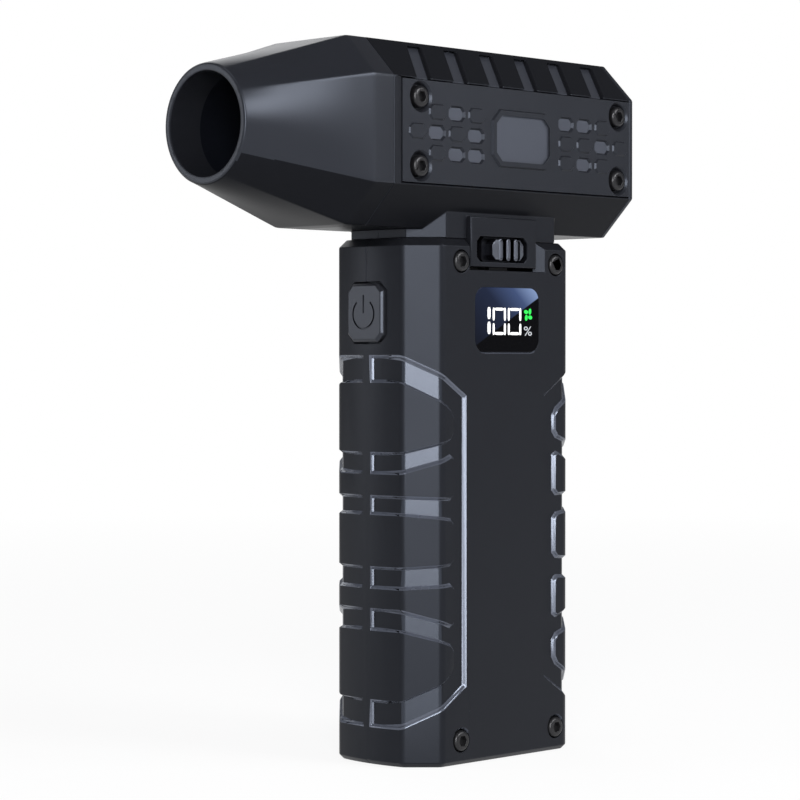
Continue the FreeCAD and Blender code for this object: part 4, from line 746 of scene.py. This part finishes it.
for side in ("left", "right"):
    plate = copyOfNode(f"side_plate_{side}", f"sidePlate.{side}", flat=0)
    dressFaces(plate, plateLook["finishes"], plateFinish)
    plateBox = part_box(f"side_plate_{side}")
    for vertex in plate.data.vertices:
        vertex.co += plateShift(vertex.co, plateBox)
    takeOnly(plate)
    bpy.ops.mesh.customdata_custom_splitnormals_clear()
    bpy.ops.object.shade_flat()
    hang(plate, "handle", "plate_plastic", f"side_plate_{side}")
print("side plates ready")

# Rear cover: its outer edges and grille bars softened

coverLook = {
    "edge": 0.00025,
    "outerFace": 0.0012,
    "outerRim": 0.0024,
    "rimDepth": 0.0002,
    "sharp": 25,
    "even": 34,
}
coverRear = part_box("rear_cover")[1][0]


def coverEdge(middle):
    # grille bars and outer face, and a little of the sides
    fromRear = coverRear - middle.x
    return fromRear < coverLook["outerFace"] or (
        fromRear < coverLook["outerRim"] and depthInBarrel(middle) < coverLook["rimDepth"])


rearCover = copyOfNode("rear_cover", "rearCover")
dress(rearCover, finishes["plateBlack"])
softenEdges(rearCover, coverLook["edge"], 2, coverLook["sharp"], coverEdge)
evenShading(rearCover, coverLook["even"])
hang(rearCover, "handle", "cover_plastic", "rear_cover")
print("rear cover ready")

# Screws: rounded heads, the socket's edge lightly broken

plateSpots = [(x, barrelLook["axis"] + z) for x, z in plateLook["screws"]]
screwLook = {
    "round": 0.00085,
    "near": 0.00002,
    "socketRadius": 0.0019,
    "socketShare": 0.15,
    "sharp": 25,
    "even": 35,
    "sets": {
        "handle_screws": [(x, z) for z in (0.1296, 0.0063) for x in (-0.0169, 0.0197)],
        "plate_screws_left": plateSpots,
        "plate_screws_right": plateSpots,
    },
}


def screwEdge(middle, top, spots):
    # the head's rim in full, its socket only lightly
    if abs(middle.y - top) > screwLook["near"]:
        return 0
    away = min(math.hypot(middle.x - x, middle.z - z) for x, z in spots)
    return 1 if away > screwLook["socketRadius"] else screwLook["socketShare"]


for nodeName, spots in screwLook["sets"].items():
    words = nodeName.split("_")
    screws = copyOfNode(nodeName, words[0] + "Screws" + "".join("." + word for word in words[2:]))
    low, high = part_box(nodeName)
    top = high[1] if nodeName.endswith("right") else low[1]
    softenEdges(
        screws, screwLook["round"], 4, screwLook["sharp"],
        lambda middle: screwEdge(middle, top, spots)
    )
    dress(screws, finishes["screwBlack"])
    evenShading(screws, screwLook["even"])
    hang(screws, "handle", "screw_steel", nodeName)
print("screws ready")

# Lock knob: softened rim and ribs, its carriage in a near-black finish as painted shade

knobLook = {
    "finishes": ["knobBlack", "signAndPaintedShade"],
    "face": -0.0184,
    "carriageDepth": 0.0016,
    "edge": 0.0004,
    "ribShare": 0.6,
    "above": 0.0001,
    "near": 0.00002,
    "sharp": 25,
    "even": 32,
}
knobFront = knobBox[0][1]


def knobEdge(middle):
    # ribs rounded a little less than the knob's own rim
    if middle.y < knobLook["face"] - knobLook["above"]:
        return knobLook["ribShare"]
    return 1 if abs(middle.y - knobLook["face"]) < knobLook["near"] else 0


knob = copyOfNode("lock_knob", "lockKnob")
# the carriage behind the knob's face gets the near-black finish, painted shade in the slot
dressFaces(
    knob, knobLook["finishes"],
    lambda face: 1 if face.center.y > knobFront + knobLook["carriageDepth"] else 0
)
softenEdges(knob, knobLook["edge"], 2, knobLook["sharp"], knobEdge)
evenShading(knob, knobLook["even"])
hang(knob, "lock_slide", "button_plastic", "lock_knob")
print("lock knob ready")

# Power button: softened rim, with the usual on and off sign cut into its face

buttonLook = {
    "middle": (0.0002, 0.1161),
    "ring": 0.0038,
    "line": 0.00026,
    "depth": 0.0003,
    "gap": 39,
    "bar": (0.1163, 0.1210),
    "barRound": 0.4,
    "ringPoints": 120,
    "cutterDepths": 6,
    "edge": 0.00022,
    "edgeDepth": 0.0012,
    "near": 0.00002,
    "signReach": 0.0051,
    "signDepths": 1.1,
    "sharp": 20,
    "even": 32,
}
button = copyOfNode("power_button", "powerButton")
dressFaces(button, ("buttonBlack", "signAndPaintedShade"), lambda face: 0)
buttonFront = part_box("power_button")[0][0]
cutterHigh = buttonLook["depth"] * buttonLook["cutterDepths"]
softenEdges(
    button, buttonLook["edge"], 2, buttonLook["sharp"],
    lambda middle: 1 if middle.x < buttonFront + buttonLook["edgeDepth"] else 0
)
dropSelection()
bpy.ops.mesh.primitive_circle_add(
    vertices=buttonLook["ringPoints"], radius=buttonLook["ring"], fill_type="NOTHING"
)
sign = bpy.context.object
sign.name = "onOffSign"
bpy.ops.object.mode_set(mode="EDIT")
bpy.ops.mesh.select_all(action="DESELECT")
bpy.ops.object.mode_set(mode="OBJECT")
for vertex in sign.data.vertices:
    turn = math.degrees(math.atan2(vertex.co.x, vertex.co.y))
    vertex.select = abs(turn) < buttonLook["gap"]
bpy.ops.object.mode_set(mode="EDIT")
bpy.ops.mesh.delete(type="VERT")
bpy.ops.mesh.select_all(action="SELECT")
bpy.ops.mesh.extrude_region_move()
bpy.ops.object.mode_set(mode="OBJECT")
for vertex in sign.data.vertices:
    grow = buttonLook["line"] * (1 if vertex.select else -1)
    vertex.co *= (buttonLook["ring"] + grow) / buttonLook["ring"]
bpy.ops.object.mode_set(mode="EDIT")
bpy.ops.mesh.select_all(action="SELECT")
bpy.ops.mesh.extrude_region_move(TRANSFORM_OT_translate={"value": (0, 0, cutterHigh)})
bpy.ops.mesh.select_all(action="SELECT")
bpy.ops.mesh.normals_make_consistent(inside=False)
bpy.ops.object.mode_set(mode="OBJECT")
barLow, barHigh = buttonLook["bar"]
dropSelection()
bpy.ops.mesh.primitive_cube_add(size=1, location=(
    0, (barLow + barHigh) / 2 - buttonLook["middle"][1], cutterHigh / 2
))
bar = bpy.context.object
bar.scale = (buttonLook["line"] * 2, barHigh - barLow, cutterHigh)
settle(bar)
bpy.ops.object.mode_set(mode="EDIT")
bpy.ops.mesh.select_all(action="SELECT")
bpy.ops.mesh.bevel(offset=buttonLook["line"] * buttonLook["barRound"], segments=2)
bpy.ops.object.mode_set(mode="OBJECT")
takeOnly(sign)
bar.select_set(True)
bpy.ops.object.join()
sign.matrix_world = Matrix.Translation((
    buttonFront + buttonLook["depth"], buttonLook["middle"][0], buttonLook["middle"][1]
)) @ Matrix(((0, 0, -1, 0), (-1, 0, 0, 0), (0, 1, 0, 0), (0, 0, 0, 1)))
settle(sign)
engrave = button.modifiers.new("engraved", "BOOLEAN")
engrave.operation = "DIFFERENCE"
engrave.solver = "EXACT"
engrave.object = sign
applyModifiers(button)
bpy.data.objects.remove(sign)
for face in button.data.polygons:
    away = math.hypot(face.center.y - buttonLook["middle"][0], face.center.z - buttonLook["middle"][1])
    depth = face.center.x - buttonFront
    cutIn = buttonLook["near"] < depth < buttonLook["depth"] * buttonLook["signDepths"]
    if cutIn and away < buttonLook["signReach"]:
        face.material_index = 1
evenShading(button, buttonLook["even"])
hang(button, "button", "button_plastic", "power_button")
print("power button ready")


# Display: lens with a painted reflection, lit digits, percent sign and fan sign

displayLook = {
    "face": -0.0189,
    "proud": 0.00004,
    "sunk": 0.00002,
    "stroke": 0.00074,
    "strokeCut": 0.0002,
    "strokeEnd": 1.1,
    "lensEdge": 0.00012,
    "lensSharp": 40,
    "lensEven": 30,
    "smooth": 20,
    "zeroHigh": (0.11454, 0.11787),
    "zeroLow": (0.1108, 0.11379),
    "zeros": [(-0.00515, -0.00007), (0.0007, 0.00593)],
    "one": (-0.00712, -0.00598),
    "oneHigh": (0.1149, 0.11797),
    "oneLow": (0.11103, 0.11418),
    "percent": ((0.00701, 0.01013), (0.11066, 0.1131)),
    "percentDepth": (0.02, 0.001),
    "fan": (0.00864, 0.11619, 0.00178),
}


litLook = {
    "colors": {"litWhite": (1, 1, 1), "litPale": (0.45, 0.47, 0.5), "litGreen": (0.02, 0.75, 0.08)},
    "patchSize": 900,
    "levels": (0.85, 1.05),
    "paintShare": 0.3,
    "roughness": 0.3,
}


def litMaterial(name):
    # a lit sign, a little uneven as diffused light is
    color = litLook["colors"][name]
    material, tree, shader = newMaterial(name)
    place = newNode(tree, "ShaderNodeTexCoord")
    uneven = newNode(tree, "ShaderNodeTexNoise")
    uneven.inputs["Scale"].default_value = litLook["patchSize"]
    level = newNode(tree, "ShaderNodeMapRange")
    level.inputs["To Min"].default_value = litLook["levels"][0]
    level.inputs["To Max"].default_value = litLook["levels"][1]
    tint = newNode(tree, "ShaderNodeVectorMath", operation="SCALE")
    tint.inputs[0].default_value = color
    tree.links.new(place.outputs["Object"], uneven.inputs["Vector"])
    tree.links.new(uneven.outputs["Fac"], level.inputs["Value"])
    tree.links.new(level.outputs["Result"], tint.inputs["Scale"])
    tree.links.new(tint.outputs[0], shader.inputs["Emission Color"])
    paint = [part * litLook["paintShare"] for part in color]
    shader.inputs["Base Color"].default_value = (*paint, 1)
    shader.inputs["Emission Strength"].default_value = 1
    shader.inputs["Roughness"].default_value = litLook["roughness"]
    return material


# painted reflection on the lens: a glowing slanted gradient that stands in for a lamp's reflection
paintedReflectionLook = {
    "slope": -0.522,
    "edge": (0.1139, 0.1142),
    "lean": 0.9,
    "span": (0.0985, 0.133),
    "ends": [(0.006, 0.008, 0.016, 1), (0.24, 0.33, 0.55, 1)],
    "stops": {0.5: (0.014, 0.021, 0.048, 1), 0.78: (0.055, 0.085, 0.19, 1)},
    "glass": (0.002, 0.002, 0.0025, 1),
    "roughness": 0.1,
    "specular": 0.08,
}


def paintedReflectionMaterial():
    # dark glass with a painted reflection: a slanting pale sheet across its upper part, made to glow
    material, tree, shader = newMaterial("glassWithPaintedReflection")
    place = newNode(tree, "ShaderNodeTexCoord")
    apart = newNode(tree, "ShaderNodeSeparateXYZ")
    rise = newNode(tree, "ShaderNodeMath", operation="MULTIPLY_ADD")
    rise.inputs[1].default_value = paintedReflectionLook["slope"]
    above = newNode(tree, "ShaderNodeMapRange", interpolation_type="SMOOTHSTEP")
    above.inputs["From Min"].default_value = paintedReflectionLook["edge"][0]
    above.inputs["From Max"].default_value = paintedReflectionLook["edge"][1]
    along = newNode(tree, "ShaderNodeMath", operation="MULTIPLY_ADD")
    along.inputs[1].default_value = paintedReflectionLook["lean"]
    travel = newNode(tree, "ShaderNodeMapRange")
    travel.inputs["From Min"].default_value = paintedReflectionLook["span"][0]
    travel.inputs["From Max"].default_value = paintedReflectionLook["span"][1]
    ramp = newNode(tree, "ShaderNodeValToRGB")
    for stop, color in zip(ramp.color_ramp.elements, paintedReflectionLook["ends"]):
        stop.color = color
    for spot, color in paintedReflectionLook["stops"].items():
        ramp.color_ramp.elements.new(spot).color = color
    blend = newNode(tree, "ShaderNodeMix", data_type="RGBA")
    blend.inputs["A"].default_value = (0, 0, 0, 1)
    tree.links.new(place.outputs["Object"], apart.inputs[0])
    tree.links.new(apart.outputs["X"], rise.inputs[0])
    tree.links.new(apart.outputs["Z"], rise.inputs[2])
    tree.links.new(rise.outputs[0], above.inputs["Value"])
    tree.links.new(apart.outputs["X"], along.inputs[0])
    tree.links.new(apart.outputs["Z"], along.inputs[2])
    tree.links.new(along.outputs[0], travel.inputs["Value"])
    tree.links.new(travel.outputs["Result"], ramp.inputs["Fac"])
    tree.links.new(above.outputs["Result"], blend.inputs["Factor"])
    tree.links.new(ramp.outputs["Color"], blend.inputs["B"])
    tree.links.new(blend.outputs["Result"], shader.inputs["Emission Color"])
    shader.inputs["Base Color"].default_value = paintedReflectionLook["glass"]
    shader.inputs["Emission Strength"].default_value = 1
    shader.inputs["Roughness"].default_value = paintedReflectionLook["roughness"]
    shader.inputs["Specular IOR Level"].default_value = paintedReflectionLook["specular"]
    return material


lens = copyOfNode("display_lens", "displayLens")
dress(lens, paintedReflectionMaterial())
softenEdges(
    lens, displayLook["lensEdge"], 2, displayLook["lensSharp"],
    lambda middle: 1 if abs(middle.y - displayLook["face"]) < displayLook["sunk"] else 0
)
evenShading(lens, displayLook["lensEven"])
hang(lens, "handle", "lens", "display_lens")

# One stroke of the digits, copied for all of them

signBack = displayLook["face"] + displayLook["sunk"]
signDepth = displayLook["proud"] + displayLook["sunk"]
dropSelection()
bpy.ops.mesh.primitive_plane_add(size=0.001)
stroke = bpy.context.object
stroke.name = "stroke"
bpy.ops.object.mode_set(mode="EDIT")
bpy.ops.mesh.select_all(action="SELECT")
bpy.ops.mesh.bevel(offset=displayLook["strokeCut"], segments=1, affect="VERTICES")
bpy.ops.mesh.extrude_region_move(TRANSFORM_OT_translate={"value": (0, 0, signDepth)})
bpy.ops.mesh.select_all(action="SELECT")
bpy.ops.mesh.normals_make_consistent(inside=False)
bpy.ops.object.mode_set(mode="OBJECT")
upright = Matrix(((1, 0, 0, 0), (0, 0, -1, 0), (0, 1, 0, 0), (0, 0, 0, 1)))


def strokeAt(spanX, spanZ):
    takeOnly(stroke)
    bpy.ops.object.duplicate()
    copy = bpy.context.object
    copy.data = stroke.data.copy()
    middle = (sum(spanX) / 2, signBack, sum(spanZ) / 2)
    size = ((spanX[1] - spanX[0]) * 1000, (spanZ[1] - spanZ[0]) * 1000, 1)
    copy.matrix_world = Matrix.Translation(middle) @ upright @ Matrix.Diagonal((*size, 1))
    return copy


wide = displayLook["stroke"]
end = wide * displayLook["strokeEnd"]
strokes = [strokeAt(displayLook["one"], displayLook[half]) for half in ("oneHigh", "oneLow")]
for left, right in displayLook["zeros"]:
    for low, high in (displayLook["zeroLow"], displayLook["zeroHigh"]):
        strokes.append(strokeAt((left, left + wide), (low, high)))
        strokes.append(strokeAt((right - wide, right), (low, high)))
    for low in (displayLook["zeroLow"][0], displayLook["zeroHigh"][1] - wide):
        strokes.append(strokeAt((left + end, right - end), (low, low + wide)))
dropSelection()
for piece in strokes:
    piece.select_set(True)
bpy.context.view_layer.objects.active = strokes[0]
bpy.ops.object.join()
digits = bpy.context.object
digits.name = "displayDigits"
settle(digits)
dress(digits, litMaterial("litWhite"))
smooth(digits, displayLook["smooth"])
hang(digits, "handle", "lens")
bpy.data.objects.remove(stroke)

# Percent sign, a plain printed character

dropSelection()
bpy.ops.object.text_add()
percent = bpy.context.object
percent.data.body = "%"
percent.data.extrude = displayLook["percentDepth"][0]
bpy.ops.object.convert(target="MESH")
percent = bpy.context.object
percent.name = "displayPercent"
corners = [Vector(corner) for corner in percent.bound_box]
textLow = Vector([min(corner[axis] for corner in corners) for axis in range(3)])
textHigh = Vector([max(corner[axis] for corner in corners) for axis in range(3)])
spanX, spanZ = displayLook["percent"]
textSize = textHigh - textLow
percentScale = (
    (spanX[1] - spanX[0]) / textSize.x, (spanZ[1] - spanZ[0]) / textSize.y, displayLook["percentDepth"][1]
)
percent.matrix_world = Matrix.Translation(
    (sum(spanX) / 2, displayLook["face"], sum(spanZ) / 2)
) @ upright @ Matrix.Diagonal((*percentScale, 1)) @ Matrix.Translation(-(textLow + textHigh) / 2)
settle(percent)
dress(percent, litMaterial("litPale"))
hang(percent, "handle", "lens")

# Fan sign: one blade, copied round its middle

bladeLook = {
    "points": 20,
    "radius": 0.4,
    "scale": (1.12, 0.72),
    "turn": 82,
    "middle": (0.4, 0.46),
}
fanX, fanZ, fanReach = displayLook["fan"]
dropSelection()
bpy.ops.mesh.primitive_circle_add(
    vertices=bladeLook["points"], radius=fanReach * bladeLook["radius"], fill_type="NGON"
)
blade = bpy.context.object
blade.name = "displayFan"
blade.scale = (*bladeLook["scale"], 1)
blade.rotation_euler.z = math.radians(bladeLook["turn"])
blade.location = (fanReach * bladeLook["middle"][0], fanReach * bladeLook["middle"][1], 0)
settle(blade)
bpy.ops.object.mode_set(mode="EDIT")
bpy.ops.mesh.select_all(action="SELECT")
bpy.ops.mesh.extrude_region_move(TRANSFORM_OT_translate={"value": (0, 0, signDepth)})
bpy.ops.mesh.select_all(action="SELECT")
bpy.ops.mesh.normals_make_consistent(inside=False)
for quarter in range(3):
    bpy.ops.mesh.duplicate()
    bpy.ops.transform.rotate(value=math.pi / 2, orient_axis="Z", center_override=(0, 0, 0))
bpy.ops.object.mode_set(mode="OBJECT")
blade.matrix_world = Matrix.Translation((fanX, signBack, fanZ)) @ upright
settle(blade)
dress(blade, litMaterial("litGreen"))
smooth(blade, displayLook["smooth"])
hang(blade, "handle", "lens")
print("display ready")

# Pale floor, and a pale screen behind the object

stageLook = {
    "floorHalf": 4.0,
    "floorDrop": 0.0002,
    "floorShare": 0.88,
    "screenShare": 1.0,
    "screenPoints": 96,
    "screenRadius": 3.2,
    "screenHeight": 1.6,
    "screenHalfAngle": 32,
    "screenMiddle": 44.6,
    "shade": (0.9, 0.9, 0.9, 1),
    "roughness": 0.9,
    "shadowReach": (0.25, 1.1),
}


def stageMaterial(name, nearShare):
    # white to the camera, to gloss and through glass; plain pale paint to all other light
    material, tree, shader = newMaterial(name)
    shader.inputs["Base Color"].default_value = stageLook["shade"]
    shader.inputs["Roughness"].default_value = stageLook["roughness"]
    shader.inputs["Specular IOR Level"].default_value = 0
    rays = newNode(tree, "ShaderNodeLightPath")
    first = newNode(tree, "ShaderNodeMath", operation="MAXIMUM")
    second = newNode(tree, "ShaderNodeMath", operation="MAXIMUM")
    share = newNode(tree, "ShaderNodeMath", operation="MULTIPLY")
    place = newNode(tree, "ShaderNodeTexCoord")
    away = newNode(tree, "ShaderNodeVectorMath", operation="LENGTH")
    fade = newNode(tree, "ShaderNodeMapRange")
    fade.inputs["From Min"].default_value = stageLook["shadowReach"][0]
    fade.inputs["From Max"].default_value = stageLook["shadowReach"][1]
    fade.inputs["To Min"].default_value = nearShare
    white = newNode(tree, "ShaderNodeEmission")
    white.inputs["Strength"].default_value = 1
    mix = newNode(tree, "ShaderNodeMixShader")
    tree.links.new(rays.outputs["Is Camera Ray"], first.inputs[0])
    tree.links.new(rays.outputs["Is Glossy Ray"], first.inputs[1])
    tree.links.new(first.outputs[0], second.inputs[0])
    tree.links.new(rays.outputs["Is Transmission Ray"], second.inputs[1])
    tree.links.new(place.outputs["Object"], away.inputs[0])
    tree.links.new(away.outputs["Value"], fade.inputs["Value"])
    tree.links.new(second.outputs[0], share.inputs[0])
    tree.links.new(fade.outputs["Result"], share.inputs[1])
    tree.links.new(share.outputs[0], mix.inputs[0])
    tree.links.new(shader.outputs[0], mix.inputs[1])
    tree.links.new(white.outputs[0], mix.inputs[2])
    tree.links.new(mix.outputs[0], tree.nodes["Material Output"].inputs["Surface"])
    return material


dropSelection()
bpy.ops.mesh.primitive_plane_add(
    size=stageLook["floorHalf"] * 2, location=(0, 0, cadBox[0][2] - stageLook["floorDrop"])
)
floor = bpy.context.object
floor.name = "floor"
settle(floor)
dress(floor, stageMaterial("floorPale", stageLook["floorShare"]))
dropSelection()
bpy.ops.mesh.primitive_cylinder_add(
    vertices=stageLook["screenPoints"], radius=stageLook["screenRadius"], depth=stageLook["screenHeight"],
    end_fill_type="NOTHING", location=(0, 0, stageLook["screenHeight"] / 2)
)
screen = bpy.context.object
screen.name = "screen"
settle(screen)
screenMiddle = math.radians(stageLook["screenMiddle"])
for face in screen.data.polygons:
    turn = math.atan2(face.center.y, face.center.x) - screenMiddle
    turn = abs((turn + math.pi) % (2 * math.pi) - math.pi)
    face.select = turn > math.radians(stageLook["screenHalfAngle"])
bpy.ops.object.mode_set(mode="EDIT")
bpy.ops.mesh.delete(type="FACE")
bpy.ops.object.mode_set(mode="OBJECT")
dress(screen, stageMaterial("screenPale", stageLook["screenShare"]))

# Lamps and the room

lamps = {
    "cameraBox": {"place": (-0.95, -0.92, 0.42), "aim": (0, 0, 0.1), "size": (0.4, 0.9), "power": 21},
    "topBox": {"place": (-0.5, 0.1, 1.1), "aim": (0, 0, 0.12), "size": (0.6, 0.6), "power": 1.5},
    "rightBox": {"place": (0.68, -0.92, 0.62), "aim": (0.0, 0, 0.14), "size": (0.3, 0.5), "power": 3.2},
    "leftBox": {"place": (-0.9, 0.85, 0.35), "aim": (0, 0, 0.1), "size": (0.3, 0.7), "power": 2.5},
    "noseBox": {"place": (0.2, -0.88, 0.6), "aim": (-0.05, 0, 0.16), "size": (0.35, 0.4), "power": 6},
    "backBox": {"place": (0.5, 1.1, 0.9), "aim": (0, 0, 0.1), "size": (0.8, 0.8), "power": 3},
}
for lampName, look in lamps.items():
    bpy.ops.object.light_add(type="AREA", location=look["place"])
    lamp = bpy.context.object
    lamp.name = lampName
    lamp.data.shape = "RECTANGLE"
    lamp.data.size, lamp.data.size_y = look["size"]
    lamp.data.energy = look["power"]
    lamp.visible_camera = False
    towards = Vector(look["aim"]) - Vector(look["place"])
    lamp.rotation_euler = towards.to_track_quat("-Z", "Y").to_euler()

roomLook = {
    "light": (0.16, 0.165, 0.18, 1),
    "background": (1, 1, 1, 1),
}
world = bpy.data.worlds.new("room")
bpy.context.scene.world = world
world.use_nodes = True
roomTree = world.node_tree
room = roomTree.nodes["Background"]
roomRays = newNode(roomTree, "ShaderNodeLightPath")
roomMix = newNode(roomTree, "ShaderNodeMix", data_type="RGBA")
roomMix.inputs["A"].default_value = roomLook["light"]
roomMix.inputs["B"].default_value = roomLook["background"]
roomTree.links.new(roomRays.outputs["Is Camera Ray"], roomMix.inputs["Factor"])
roomTree.links.new(roomMix.outputs["Result"], room.inputs["Color"])
bpy.context.scene.view_settings.view_transform = "Standard"
print("stage and lamps ready")
